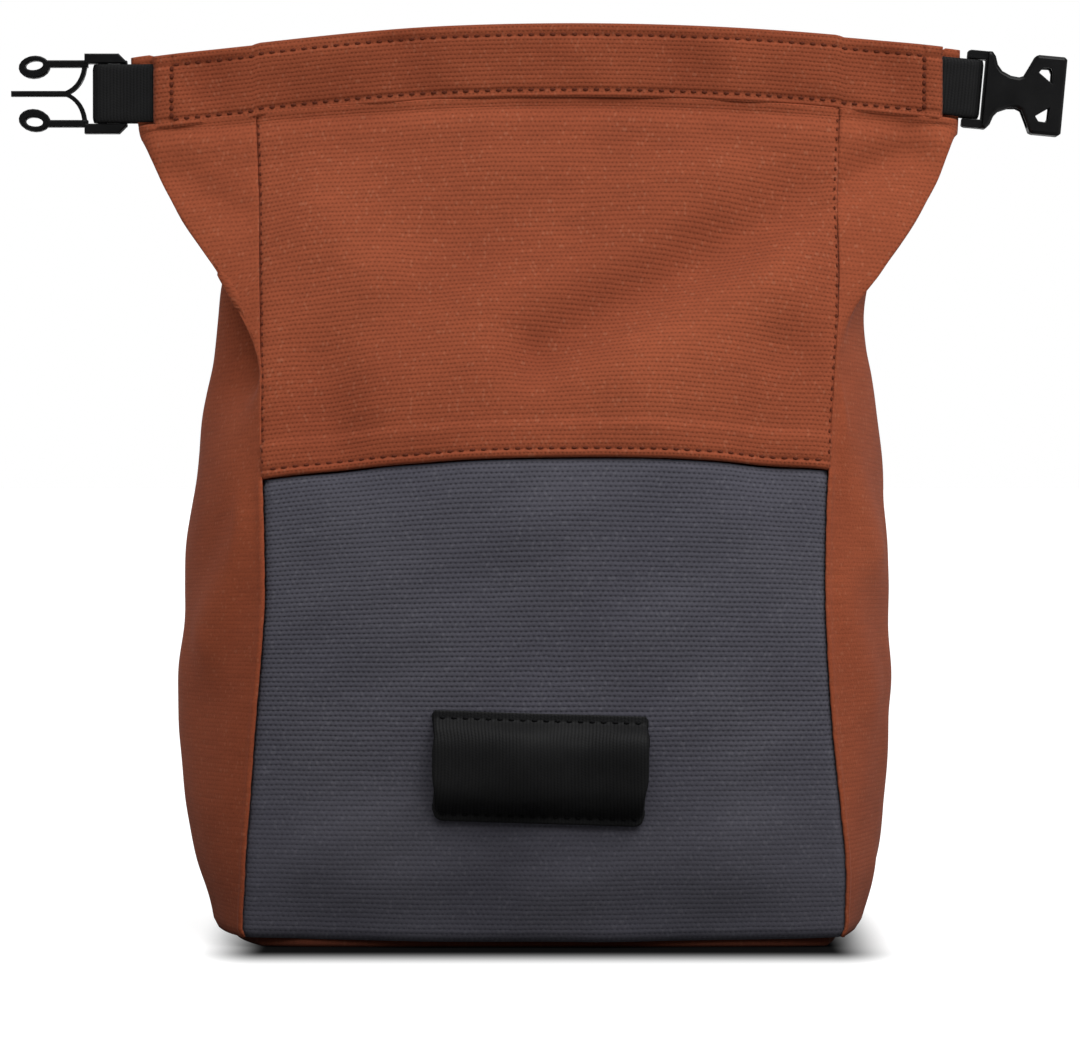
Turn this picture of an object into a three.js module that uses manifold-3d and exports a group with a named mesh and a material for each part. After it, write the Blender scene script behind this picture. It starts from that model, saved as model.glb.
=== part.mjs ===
// A roll-top climbing chalk bag, standing open and unrolled, in millimetres with +Z up.
//
// The bag is sewn from canvas panels: a front in two colours, a back, two side gussets and a base.
// Its mouth is drawn out flat between two webbing tabs that hold the halves of a side-release buckle,
// so each gusset folds into an ear under the collar, and below it opens into a full, bellied side.
// The front faces -Y. The origin is on the floor, in the middle of the base.

import * as THREE from "three";
import { mergeVertices } from "three/addons/utils/BufferGeometryUtils.js";
import Module from "manifold-3d";

const wasm = await Module();
wasm.setup();

// Bag body
const bagHeight = 295; // floor to the middle of the rim
const panelWidth = 191; // front and back panels, seam to seam at the collar
const baseDepth = 112; // front seam to back seam at the base
const mouthWidth = 275; // flattened mouth, from ear tip to ear tip
const bellyReach = 28; // how far a full gusset stands out past its seams
const crownRise = 8; // how far the front and back bow out between their seams
const pocketDepth = 8; // hollow in the gusset behind an ear's folded edge
const rimArch = 4.1; // how far the rim drops from its middle to the panels' seams
const wrinkleDepth = 4; // height of the largest soft fold
const lowerPanelHeight = 155; // top of the lower front panel, at its middle
const clothThickness = 1.6;
const gap = 0.3; // clearance between pieces that are sewn face to face

// Shape of its curves
const bellyPower = 2.2; // how squarely a full gusset curves, where 2 is a parabola
const pinchPower = 0.25; // how early a gusset's folded edges close up towards the rim
const hollowPower = 4; // how near to its folded edge an ear's pocket is deepest
const seamPower = 8; // how close to a seam the soft folds run

// Base panel
const baseInset = 0.6; // how far its edge lies inside the walls' outer face
const baseRim = 8; // width of the edge that lifts with the walls

// Collar
const collarHeight = 22.5;
const collarInset = 8; // ear tip to the end of the collar
const collarThickness = 1.5;
const tuckLength = 9; // length of webbing hidden under each end of the collar
const tuckSlope = 12; // length over which the collar rises on to the webbing

// Webbing tabs
const webbingWidth = 19;
const webbingThickness = 1.3;

// Both buckle halves
const barRadius = 1.6;
const barMargin = 0.35; // clearance between the webbing's edges and a bar's ends
const shoulderReach = 5.8; // bar to the shoulder that faces away from the bag
const halfThickness = 5.4; // thickness of the frame round a bar

// Male half
const maleBarGap = 8.3; // ear tip to the bar
const maleDrop = 11.2; // rim to the middle of the webbing
const maleTilt = 0; // degrees that the half hangs down at its outer end
const railWidth = 3.2;
const railReach = 8; // bar to the rails' end at the bag
const railCorner = 2.6;
const rearBarWidth = 2.2;
const rearBarThickness = 2.4;
const prongReach = 27.4; // bar to the prongs' tips
const prongWidth = 2.3;
const prongThickness = 4.2;
const eyeLength = 10.2;
const eyeWidth = 7.4;
const eyeHoleLength = 5.8;
const eyeHoleWidth = 3;
const eyeStandOut = 1.5; // how far an eye stands out past its arm
const eyeHoleShift = 0.5; // the hole's middle, outwards from the eye's
const eyeTurn = -0.12; // radians
const guideReach = 29.9; // bar to the middle guide's tip
const guideFork = 10.9; // bar to where the guide forks
const guideWidth = 1.8;
const guideThickness = 3.4;
const ribWidth = 1.4;

// Female half
const femaleBarGap = 2.2; // ear tip to the bar
const femaleDrop = 12.1;
const femaleTilt = 5.3;
const slotReach = 4.3; // bar to the far side of the slot for the webbing
const femaleLength = 30.6; // bar to the mouth of the socket
const femaleWidth = 25.8;
const femaleThickness = 8.4;
const socketDepth = 21.6;
const socketWall = 1.6;
const socketSideWall = 2.1;

// Brush loop
const loopWidth = 68;
const loopHeight = 34.7;
const loopMiddle = 57.3; // height of its middle above the floor
const loopShift = -2.5; // sideways from the middle of the bag
const loopSlope = -0.03; // sewn on a little askew
const loopFlange = 2.6; // width of each sewn edge
const loopRise = 6.6; // clear depth under it
const loopThickness = 1.4;
const loopPower = 4; // how squarely it stands off the panel

const halfPanel = panelWidth / 2;
const earReach = (mouthWidth - panelWidth) / 2;
const noseDepth = clothThickness + gap / 2; // half the thickness of an ear's folded tip
const share = (height) => height / bagHeight;

// Rows of a table as objects, by the names of its columns.
function named({ columns, rows }) {
  const names = columns.split(" ");
  return rows.map((row) => Object.fromEntries(row.map((value, i) => [names[i], value])));
}

// One row for each horizontal section, from the floor to the rim. rise is a share of the bag's height,
// width and depth of half the panel's width and half the base's depth, crown of crownRise, arch and
// tilt of rimArch, lean of the panel's width, belly of bellyReach, dent of pocketDepth, and ridge and
// spine of an ear's reach. fold is the share of a gusset between its two folded edges, and crease says
// how sharp those edges are. L and R mark the left and the right gusset.
const sections = named({
  columns:
    "rise width depth crown arch tilt lean fold crease " +
    "bellyL bellyR dentL dentR ridgeL ridgeR spineL spineR",
  rows: [
    [0.0, 1.004, 0.985, 0.45, -0.3, 0, -0.008, 0.8, 0, 0.3, 0.245, 0, 0, 0, 0, 0, 0],
    [0.085, 0.998, 1.02, 0.8, -0.1, 0, -0.004, 0.8, 0, 0.69, 0.47, 0, 0, 0, 0, 0, 0],
    [0.153, 0.98, 1.03, 0.95, 0, 0, -0.005, 0.8, 0, 0.87, 0.605, 0, 0, 0, 0, 0, 0],
    [0.237, 0.957, 1.03, 1.0, 0, 0, -0.007, 0.8, 0, 0.99, 0.755, 0, 0, 0, 0, 0, 0],
    [0.329, 0.937, 1.02, 1.0, 0.3, 0.1, -0.006, 0.8, 0, 1.05, 0.83, 0, 0, 0, 0, 0, 0],
    [0.386, 0.93, 1.0, 1.0, 0.6, 0.2, -0.005, 0.8, 0, 1.05, 0.84, 0, 0, 0, 0, 0, 0],
    [0.464, 0.934, 0.96, 1.05, 1.1, 0.3, -0.005, 0.8, 0, 0.99, 0.8, 0, 0, 0, 0, 0, 0],
    [0.542, 0.945, 0.89, 1.1, 1.55, 0.4, -0.004, 0.82, 0, 0.875, 0.71, 0.1, 0, 0, 0, 0, 0],
    [0.6, 0.955, 0.81, 1.05, 1.5, 0.4, -0.002, 0.88, 0.3, 0.77, 0.59, 0.4, 0.1, 0, 0, 0, 0],
    [0.635, 0.96, 0.755, 1.0, 1.5, 0.4, 0, 0.92, 0.7, 0.7, 0.5, 0.8, 0.2, 0.02, 0.02, 0, 0],
    [0.665, 0.966, 0.695, 0.95, 1.45, 0.35, 0.001, 0.9, 1, 0.615, 0.42, 1, 0.3, 0.07, 0.07, 0, 0],
    [0.712, 0.972, 0.6, 0.9, 1.4, 0.35, 0.002, 0.79, 1, 0.54, 0.37, 0.95, 0.4, 0.21, 0.24, 0, 0],
    [0.746, 0.976, 0.52, 0.85, 1.35, 0.3, 0.002, 0.69, 1, 0.47, 0.37, 0.75, 0.35, 0.326, 0.352, 0, 0.01],
    [0.78, 0.978, 0.43, 0.8, 1.25, 0.3, 0.001, 0.575, 1, 0.33, 0.28, 0.5, 0.2, 0.445, 0.51, 0.1, 0.15],
    [0.82, 0.98, 0.33, 0.75, 1.15, 0.25, 0, 0.42, 1, 0.18, 0.15, 0.25, 0.1, 0.595, 0.69, 0.31, 0.41],
    [0.858, 0.986, 0.24, 0.7, 1.1, 0.2, 0, 0.29, 1, 0.05, 0.05, 0, 0, 0.73, 0.82, 0.57, 0.665],
    [0.895, 0.992, 0.145, 0.65, 1.0, 0.2, 0, 0.18, 1, 0, 0, 0, 0, 0.835, 0.905, 0.74, 0.83],
    [0.912, 0.995, 0.075, 0.6, 1.0, 0.2, 0, 0.08, 1, 0, 0, 0, 0, 0.876, 0.933, 0.89, 0.95],
    [1.0, 0.996, 0.075, 0.75, 1.0, 0.2, 0, 0.08, 1, 0, 0, 0, 0, 0.99, 0.945, 1.0, 0.965],
  ],
});
const rim = sections[sections.length - 1];

// One row for each soft fold in a wall, from one end to the other. at is the distance across a panel
// or round a gusset, from -1 to 1, spread is how far from its line the fold fades, as a share of the
// panel's width, and height is a share of wrinkleDepth.
const wrinkles = named({
  columns: "wall at1 rise1 at2 rise2 spread height",
  rows: [
    ["front", 0.72, 0.87, -0.12, 0.65, 0.09, -1],
    ["front", 0.9, 0.8, 0.28, 0.62, 0.08, 0.6],
    ["front", -0.45, 0.76, 0.05, 0.79, 0.1, -0.6],
    ["front", -0.85, 0.79, -0.6, 0.74, 0.08, 0.5],
    ["front", 0.8, 0.66, 0.78, 0.54, 0.06, -0.5],
    ["L", -0.8, 0.47, -0.35, 0.34, 0.06, 0.5],
    ["R", -0.8, 0.57, -0.5, 0.44, 0.06, 0.5],
    ["R", -0.75, 0.38, -0.55, 0.27, 0.06, 0.4],
  ],
});
const wrinkleTop = 0.93; // no fold reaches this rise, where the collar begins
const wrinkleFade = 0.06;

// A smooth value between the rows of the section table, which never overshoots them.
function between(column, rise) {
  const value = (i) => sections[i][column];
  const at = THREE.MathUtils.clamp(rise, 0, 1);
  const i = Math.max(sections.findIndex((row) => row.rise >= at), 1);
  const slope = (j) => {
    if (j < 1 || j > sections.length - 2) return 0;
    const before = (value(j) - value(j - 1)) / (sections[j].rise - sections[j - 1].rise);
    const after = (value(j + 1) - value(j)) / (sections[j + 1].rise - sections[j].rise);
    return before * after <= 0 ? 0 : (2 * before * after) / (before + after);
  };
  const span = sections[i].rise - sections[i - 1].rise;
  const t = (at - sections[i - 1].rise) / span;
  const eased = t * t * (3 - 2 * t);
  const leaving = slope(i - 1) * span * t * (1 - t) ** 2;
  const arriving = slope(i) * span * t * t * (t - 1);
  return value(i - 1) * (1 - eased) + value(i) * eased + leaving + arriving;
}

// The real sizes of one section. inward moves every face in, which gives the cloth's inner face.
function sectionAt(rise, inward = 0) {
  const width = between("width", rise) * halfPanel;
  const depth = (between("depth", rise) * baseDepth) / 2;
  const fold = between("fold", rise);
  const pinch = Math.max((fold - rim.fold) / (1 - rim.fold), 0) ** pinchPower;
  const gusset = (mark) => {
    const belly = between("belly" + mark, rise) * bellyReach;
    return {
      ridge: width + between("ridge" + mark, rise) * earReach - inward,
      spine: width + belly + between("spine" + mark, rise) * earReach - inward,
      dent: between("dent" + mark, rise) * pocketDepth,
    };
  };
  return {
    fold,
    width: width - inward,
    depth: depth - inward,
    ridgeDepth: noseDepth + (depth - noseDepth) * pinch - inward,
    crease: between("crease", rise),
    crown: between("crown", rise) * crownRise,
    arch: between("arch", rise) * rimArch,
    tilt: between("tilt", rise) * rimArch,
    lean: between("lean", rise) * panelWidth,
    height: rise * bagHeight,
    L: gusset("L"),
    R: gusset("R"),
  };
}

// A point's height: level lines are arched, lower at the sides than in the middle, and tilt a little.
const heightOn = (s, x) => s.height - s.arch * (x / halfPanel) ** 2 + (s.tilt * x) / halfPanel;

// How far the soft folds of a wall move a point of it outwards. They fade at the seams.
function wrinkleAt(wall, at, rise) {
  const along = (value) => value * halfPanel;
  let height = 0;
  for (const fold of wrinkles.filter((row) => row.wall === wall)) {
    const start = new THREE.Vector2(along(fold.at1), fold.rise1 * bagHeight);
    const end = new THREE.Vector2(along(fold.at2), fold.rise2 * bagHeight);
    const point = new THREE.Vector2(along(at), rise * bagHeight);
    const line = end.clone().sub(start);
    const reached = THREE.MathUtils.clamp(point.clone().sub(start).dot(line) / line.lengthSq(), 0, 1);
    const distance = point.distanceTo(start.clone().addScaledVector(line, reached));
    height += fold.height * wrinkleDepth * Math.exp(-((distance / (fold.spread * panelWidth)) ** 2));
  }
  const belowCollar = THREE.MathUtils.smoothstep(wrinkleTop - rise, 0, wrinkleFade);
  return height * belowCollar * (1 - at ** seamPower);
}

// A hump that is 0 at a share of 0 and of 1, and 1 halfway.
const hump = (part) => 4 * part * (1 - part);

// A point on the front (facing -1) or back (facing 1) panel, across from -1 at the left seam to 1.
function panelPoint(rise, across, facing, inward = 0) {
  const s = sectionAt(rise, inward);
  const x = across * s.width;
  const folds = facing < 0 ? wrinkleAt("front", across, rise) : 0;
  const bow = s.crown * (1 - across ** 2) + folds;
  return new THREE.Vector3(x + s.lean, facing * (s.depth + bow), heightOn(s, x));
}

// A point on a gusset, around from -1 at its front seam to 1 at its back seam. Low down the gusset is
// one full curve, and under the collar it is an ear with two folded edges and a panel between them.
function gussetPoint(rise, around, side, inward = 0) {
  const s = sectionAt(rise, inward);
  const { ridge, spine, dent } = s[side];
  const reach = Math.abs(around);
  const curve = (end, t) => spine + (end - spine) * t ** bellyPower;
  const full = { x: curve(s.width, reach), y: s.depth * reach };
  const t = reach / s.fold;
  const onEar = (reach - s.fold) / (1 - s.fold);
  const hollow = dent * hump(Math.min(t, 1) ** hollowPower);
  const ear =
    t > 1
      ? { x: ridge + (s.width - ridge) * onEar, y: s.ridgeDepth + (s.depth - s.ridgeDepth) * onEar }
      : { x: curve(ridge, t) - hollow, y: s.ridgeDepth * t };
  const x = full.x + (ear.x - full.x) * s.crease + wrinkleAt(side, around, rise);
  const y = full.y + (ear.y - full.y) * s.crease;
  const outward = side === "L" ? -x : x;
  return new THREE.Vector3(outward + s.lean, Math.sign(around) * y, heightOn(s, outward));
}

// Depth of the walls' outer face at a distance x from the middle, over a panel and on to the ears.
function faceDepth(rise, x, facing) {
  const s = sectionAt(rise);
  const across = (x - s.lean) / s.width;
  if (Math.abs(across) <= 1) return Math.abs(panelPoint(rise, across, facing).y);
  const { ridge } = x < 0 ? s.L : s.R;
  const onEar = Math.min((Math.abs(x - s.lean) - s.width) / (ridge - s.width), 1);
  return s.depth + (s.ridgeDepth - s.depth) * onEar;
}

// A closed solid between an outer and an inner grid of points, which are given by column and row.
// Seen from outside, columns run to the right and rows run up.
function sheetSolid(columns, rows, outer, inner) {
  const positions = [];
  const index = [];
  const layer = columns * rows;
  for (const face of [outer, inner])
    for (let j = 0; j < rows; j++)
      for (let i = 0; i < columns; i++) positions.push(...face(i, j).toArray());
  const quad = (a, b, c, d) => index.push(a, b, c, a, c, d);
  const at = (i, j) => j * columns + i;
  for (let j = 0; j < rows - 1; j++)
    for (let i = 0; i < columns - 1; i++) {
      quad(at(i, j), at(i + 1, j), at(i + 1, j + 1), at(i, j + 1));
      quad(layer + at(i, j), layer + at(i, j + 1), layer + at(i + 1, j + 1), layer + at(i + 1, j));
    }
  for (let i = 0; i < columns - 1; i++) {
    quad(layer + at(i, 0), layer + at(i + 1, 0), at(i + 1, 0), at(i, 0));
    quad(at(i, rows - 1), at(i + 1, rows - 1), layer + at(i + 1, rows - 1), layer + at(i, rows - 1));
  }
  for (let j = 0; j < rows - 1; j++) {
    quad(at(0, j), at(0, j + 1), layer + at(0, j + 1), layer + at(0, j));
    const [low, high] = [at(columns - 1, j), at(columns - 1, j + 1)];
    quad(high, low, layer + low, layer + high);
  }
  const geometry = new THREE.BufferGeometry();
  geometry.setAttribute("position", new THREE.Float32BufferAttribute(positions, 3));
  geometry.setIndex(index);
  return geometry;
}

// Colours and finishes
const canvasRust = new THREE.MeshStandardMaterial({ color: 0x9a4a2c, roughness: 0.9, metalness: 0 });
const canvasSlate = new THREE.MeshStandardMaterial({ color: 0x41414b, roughness: 0.9, metalness: 0 });
const blackWebbing = new THREE.MeshStandardMaterial({ color: 0x1b1b1c, roughness: 0.85, metalness: 0 });
const blackPlastic = new THREE.MeshStandardMaterial({ color: 0x161617, roughness: 0.45, metalness: 0 });

const bag = new THREE.Group();
function place(name, geometry, material, parent = bag) {
  const mesh = new THREE.Mesh(geometry, material);
  mesh.name = name;
  parent.add(mesh);
}

// Canvas walls. Each stops short of the seam that it shares with its neighbour, so that the mitred
// edges keep the sewing gap between them.
const wallBottom = share(clothThickness + gap);
const wallTop = 1;
const seamRise = share(lowerPanelHeight);
const setback = gap * Math.SQRT1_2;
const panelColumns = 21;
const earColumns = 2;
const sideColumns = 7; // from a gusset's folded edge to its middle

// Rises between two heights: those of the section table, with a number of even steps between each two.
function risesBetween(from, to, steps) {
  const nearest = share(2 * clothThickness);
  const own = sections.map((row) => row.rise).filter((rise) => rise > from + nearest && rise < to - nearest);
  const stops = [from, ...own, to];
  const rises = [];
  for (let i = 0; i < stops.length - 1; i++)
    for (let k = 0; k < steps; k++) rises.push(stops[i] + ((stops[i + 1] - stops[i]) * k) / steps);
  return [...rises, to];
}

function panel({ name, material, from, to, facing, steps }) {
  const rises = risesBetween(from, to, steps);
  const reach = 1 - setback / halfPanel;
  const face = (inward) => (i, j) => {
    const across = ((2 * i) / (panelColumns - 1) - 1) * reach;
    return panelPoint(rises[j], -facing * across, facing, inward);
  };
  place(name, sheetSolid(panelColumns, rises.length, face(0), face(clothThickness)), material);
}

function gusset(name, side) {
  const rises = risesBetween(wallBottom, wallTop, 1);
  const face = (inward) => (i, j) => {
    const rise = rises[j];
    const s = sectionAt(rise);
    const middle = earColumns + sideColumns;
    const column = Math.abs(i - middle);
    const beyondFold = Math.max(column - sideColumns, 0) / earColumns;
    const reach = Math.min(column / sideColumns, 1) * s.fold + beyondFold * (1 - s.fold);
    const edgeLength = Math.hypot(s[side].ridge - s.width, s.depth - s.ridgeDepth) / (1 - s.fold);
    const trimmed = reach * (1 - setback / Math.max(edgeLength, s.depth));
    return gussetPoint(rise, Math.sign(i - middle) * (side === "R" ? 1 : -1) * trimmed, side, inward);
  };
  const columns = 2 * (earColumns + sideColumns) + 1;
  place(name, sheetSolid(columns, rises.length, face(0), face(clothThickness)), canvasRust);
}

panel({
  name: "front_lower_panel",
  material: canvasSlate,
  from: wallBottom,
  to: seamRise - share(gap / 2),
  facing: -1,
  steps: 1,
});
panel({
  name: "front_upper_panel",
  material: canvasRust,
  from: seamRise + share(gap / 2),
  to: wallTop,
  facing: -1,
  steps: 2,
});
panel({ name: "back_panel", material: canvasRust, from: wallBottom, to: wallTop, facing: 1, steps: 1 });
gusset("gusset_left", "L");
gusset("gusset_right", "R");

// The base is one panel, flat on the floor, whose edge lifts to meet the walls.
function basePanel() {
  const steps = 10;
  const walls = [
    (t) => panelPoint(wallBottom, t, -1),
    (t) => gussetPoint(wallBottom, t, "R"),
    (t) => panelPoint(wallBottom, -t, 1),
    (t) => gussetPoint(wallBottom, -t, "L"),
  ];
  const edge = walls.flatMap((wall) => Array.from({ length: steps }, (_, i) => wall((2 * i) / steps - 1)));
  const ring = (inset, heightOf) =>
    edge.map((point) => {
      const shrink = 1 - inset / Math.hypot(point.x, point.y);
      return new THREE.Vector3(point.x * shrink, point.y * shrink, heightOf(point));
    });
  const rings = [
    ring(baseInset + baseRim, () => 0),
    ring(baseInset, (point) => point.z - gap - clothThickness),
    ring(baseInset, (point) => point.z - gap),
    ring(baseInset + baseRim, () => clothThickness),
  ];
  const count = edge.length;
  const index = [];
  for (let r = 0; r < rings.length - 1; r++)
    for (let i = 0; i < count; i++) {
      const [a, b] = [r * count + i, r * count + ((i + 1) % count)];
      index.push(a, b, b + count, a, b + count, a + count);
    }
  const cap = (r, flip) => {
    const outline = rings[r].map((point) => new THREE.Vector2(point.x, point.y));
    for (const triangle of THREE.ShapeUtils.triangulateShape(outline, []))
      index.push(...(flip ? [...triangle].reverse() : triangle).map((i) => r * count + i));
  };
  cap(0, true);
  cap(rings.length - 1, false);
  const positions = rings.flat().flatMap((p) => p.toArray());
  const geometry = new THREE.BufferGeometry();
  geometry.setAttribute("position", new THREE.Float32BufferAttribute(positions, 3));
  geometry.setIndex(index);
  return geometry;
}

place("base_panel", basePanel(), canvasRust);

// Collar: a band stitched over the mouth's edge on each side, raised at its ends on to the webbing.
const collarReach = mouthWidth / 2 - collarInset;

function collarBand(name, facing) {
  const columns = 27;
  const rows = 4;
  const lift = (x) => {
    const onWebbing = (Math.abs(x) - (collarReach - tuckLength - tuckSlope)) / tuckSlope;
    return gap + (webbingThickness + gap) * THREE.MathUtils.clamp(onWebbing, 0, 1);
  };
  const face = (outward) => (i, j) => {
    const x = ((2 * i) / (columns - 1) - 1) * -facing * collarReach;
    const rise = 1 - share(collarHeight) * (1 - j / (rows - 1));
    const y = faceDepth(rise, x, facing) + lift(x) + outward;
    return new THREE.Vector3(x, facing * y, heightOn(sectionAt(rise), x));
  };
  place(name, sheetSolid(columns, rows, face(collarThickness), face(0)), canvasRust);
}

collarBand("collar_front", -1);
collarBand("collar_back", 1);

// Webbing tab: a strap doubled round the buckle's bar, with both ends under the collar. Its line is
// drawn in plan, with x outwards from the middle of the bag.
function webbingTab(barReach) {
  const half = webbingThickness / 2;
  const tuckEnd = collarReach - tuckLength + gap;
  const rise = 1 - share(collarHeight / 2);
  const nearEnd = faceDepth(rise, tuckEnd, 1) + gap + half;
  const wrap = barRadius + gap + half;
  const tipDepth = Math.max(noseDepth + gap + half, wrap);
  const tipReach = barReach - 2 * wrap;
  const line = [new THREE.Vector2(tuckEnd, -nearEnd), new THREE.Vector2(tipReach, -tipDepth)];
  const turns = 10;
  for (let i = 0; i <= turns; i++) {
    const angle = -Math.PI / 2 + (Math.PI * i) / turns;
    line.push(new THREE.Vector2(barReach + wrap * Math.cos(angle), wrap * Math.sin(angle)));
  }
  line.push(new THREE.Vector2(tipReach, tipDepth), new THREE.Vector2(tuckEnd, nearEnd));
  const edge = (offset) =>
    line.map((point, i) => {
      const [before, after] = [line[Math.max(i - 1, 0)], line[Math.min(i + 1, line.length - 1)]];
      const along = after.clone().sub(before).normalize();
      return point.clone().add(new THREE.Vector2(along.y, -along.x).multiplyScalar(offset));
    });
  const shape = new THREE.Shape([...edge(half), ...edge(-half).reverse()]);
  const strap = new THREE.ExtrudeGeometry(shape, { depth: webbingWidth, bevelEnabled: false });
  return strap.translate(-barReach, 0, -webbingWidth / 2);
}

// Solids for joining and cutting.
function toSolid(geometry) {
  const bare = geometry.index ? geometry.toNonIndexed() : geometry.clone();
  bare.deleteAttribute("normal");
  bare.deleteAttribute("uv");
  const merged = mergeVertices(bare);
  const vertProperties = Float32Array.from(merged.attributes.position.array);
  const triVerts = Uint32Array.from(merged.index.array);
  return new wasm.Manifold(new wasm.Mesh({ numProp: 3, vertProperties, triVerts }));
}

function toGeometry(solid) {
  const { vertProperties, numProp, numVert, triVerts } = solid.getMesh();
  const positions = new Float32Array(numVert * 3);
  for (let i = 0; i < numVert; i++) {
    const start = i * numProp;
    positions.set(vertProperties.subarray(start, start + 3), i * 3);
  }
  const geometry = new THREE.BufferGeometry();
  geometry.setAttribute("position", new THREE.BufferAttribute(positions, 3));
  geometry.setIndex(Array.from(triVerts));
  return geometry;
}

// Buckle halves are drawn flat, with x out from the bar and y along it, and then stood on edge.
const point = (x, y) => new THREE.Vector2(x, y);
const rectangle = (x0, x1, y0, y1) => [point(x0, y0), point(x1, y0), point(x1, y1), point(x0, y1)];
const mirrored = (outline) => outline.map((p) => point(p.x, -p.y)).reverse();

function plate(outline, thickness, bevel = 0, holes = []) {
  const shape = new THREE.Shape(outline);
  shape.holes = holes.map((hole) => new THREE.Path(hole));
  const geometry = new THREE.ExtrudeGeometry(shape, {
    depth: thickness - 2 * bevel,
    bevelEnabled: bevel > 0,
    bevelThickness: bevel,
    bevelSize: bevel,
    bevelOffset: -bevel,
    bevelSegments: 1,
  });
  return toSolid(geometry.translate(0, 0, bevel - thickness / 2));
}

const barEnd = webbingWidth / 2 + barMargin; // middle of the webbing to the inner face of a rail
const barJoin = 1; // how far a bar runs into what holds it
const barSides = 16;
const softEdge = 0.4; // width of the bevel along a frame's edges

function roundBar() {
  return toSolid(new THREE.CylinderGeometry(barRadius, barRadius, 2 * (barEnd + barJoin), barSides));
}

// A prong: an arm along the frame's outer side, ending in a flat oval eye.
function prong() {
  const outer = barEnd + railWidth / 3; // the arm stands a little out from the rail's inner face
  const eye = point(prongReach - eyeLength / 2, outer + eyeStandOut - eyeWidth / 2);
  const steps = 18;
  const oval = (length, width, shift) => {
    const [x, y] = [eye.x, eye.y + shift];
    const curve = new THREE.EllipseCurve(x, y, length / 2, width / 2, 0, 2 * Math.PI, false, eyeTurn);
    return curve.getPoints(steps).slice(0, -1);
  };
  const armEnd = eye.x - (eyeHoleLength + ribWidth) / 2;
  const arm = rectangle(shoulderReach - barJoin, armEnd, outer - prongWidth, outer);
  const hole = oval(eyeHoleLength, eyeHoleWidth, eyeHoleShift).reverse();
  const ring = plate(oval(eyeLength, eyeWidth, 0), prongThickness, softEdge, [hole]);
  return plate(arm, prongThickness, softEdge).add(ring);
}

// The middle guide: a straight blade that forks into two curved ribs, one to each prong's root.
function guide() {
  const blade = rectangle(guideFork, guideReach, -guideWidth / 2, guideWidth / 2);
  const bend = barEnd / 2;
  const rib = new THREE.CubicBezierCurve(
    point(guideFork + ribWidth, 0),
    point(guideFork - bend / 2, ribWidth),
    point(shoulderReach, bend),
    point(shoulderReach, barEnd + ribWidth / 2),
  );
  const steps = 8;
  const side = (offset) =>
    Array.from({ length: steps + 1 }, (_, i) => {
      const along = rib.getTangent(i / steps);
      return rib.getPoint(i / steps).add(point(along.y, -along.x).multiplyScalar(offset));
    });
  const outline = [...side(ribWidth / 2), ...side(-ribWidth / 2).reverse()];
  return plate(blade, guideThickness, softEdge)
    .add(plate(outline, guideThickness))
    .add(plate(mirrored(outline), guideThickness));
}

function maleHalf() {
  const outer = barEnd + railWidth;
  const rail = [
    point(-railReach, barEnd),
    point(shoulderReach, barEnd),
    point(shoulderReach, outer),
    point(railCorner - railReach, outer),
    point(-railReach, outer - railCorner),
  ];
  const rearBar = rectangle(-railReach, rearBarWidth - railReach, -barEnd - barJoin, barEnd + barJoin);
  return plate(rail, halfThickness, softEdge)
    .add(plate(mirrored(rail), halfThickness, softEdge))
    .add(roundBar())
    .add(plate(rearBar, rearBarThickness))
    .add(prong())
    .add(prong().mirror([0, 1, 0]))
    .add(guide());
}

// The female half's outline from its bar to the mouth of its socket, and one of the two windows in its
// face, as shares of its length and half its width.
const femaleOutline = named({
  columns: "along across",
  rows: [
    [-0.06, 0.95],
    [-0.03, 0.98],
    [0.197, 0.98],
    [0.235, 0.87],
    [0.265, 0.66],
    [0.318, 0.51],
    [0.415, 0.41],
    [0.503, 0.39],
    [0.557, 0.44],
    [0.611, 0.7],
    [0.664, 0.97],
    [0.698, 1],
    [0.971, 1],
    [1, 0.94],
  ],
});
const femaleWindow = named({
  columns: "along across",
  rows: [
    [0.708, 0.55],
    [0.747, 0.68],
    [0.83, 0.69],
    [0.854, 0.58],
    [0.856, 0.3],
  ],
});
const femaleEdge = 0.9; // width of the bevel round the half

function femaleHalf() {
  const half = femaleWidth / 2;
  const through = 2 * femaleThickness;
  const scaled = (rows) => rows.map((row) => point(row.along * femaleLength, row.across * half));
  const upper = scaled(femaleOutline);
  const outline = [...upper, ...mirrored(upper)];
  const window = scaled(femaleWindow);
  const frontSide = shoulderReach - barJoin;
  const thinned = (side) => {
    const block = plate(rectangle(-femaleLength, frontSide, -femaleWidth, femaleWidth), femaleThickness);
    return block.translate([0, 0, (side * (femaleThickness + halfThickness)) / 2]);
  };
  const socketHalf = half - socketSideWall;
  const socketStart = femaleLength - socketDepth;
  const socket = rectangle(socketStart, femaleLength + femaleEdge, -socketHalf, socketHalf);
  const slot = rectangle(-femaleLength, slotReach, -barEnd, barEnd);
  return plate(outline.reverse(), femaleThickness, femaleEdge)
    .subtract(thinned(1))
    .subtract(thinned(-1))
    .subtract(plate(socket, femaleThickness - 2 * socketWall))
    .subtract(plate(slot, through))
    .subtract(plate([...window].reverse(), through))
    .subtract(plate(mirrored([...window].reverse()), through))
    .add(roundBar());
}

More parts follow.
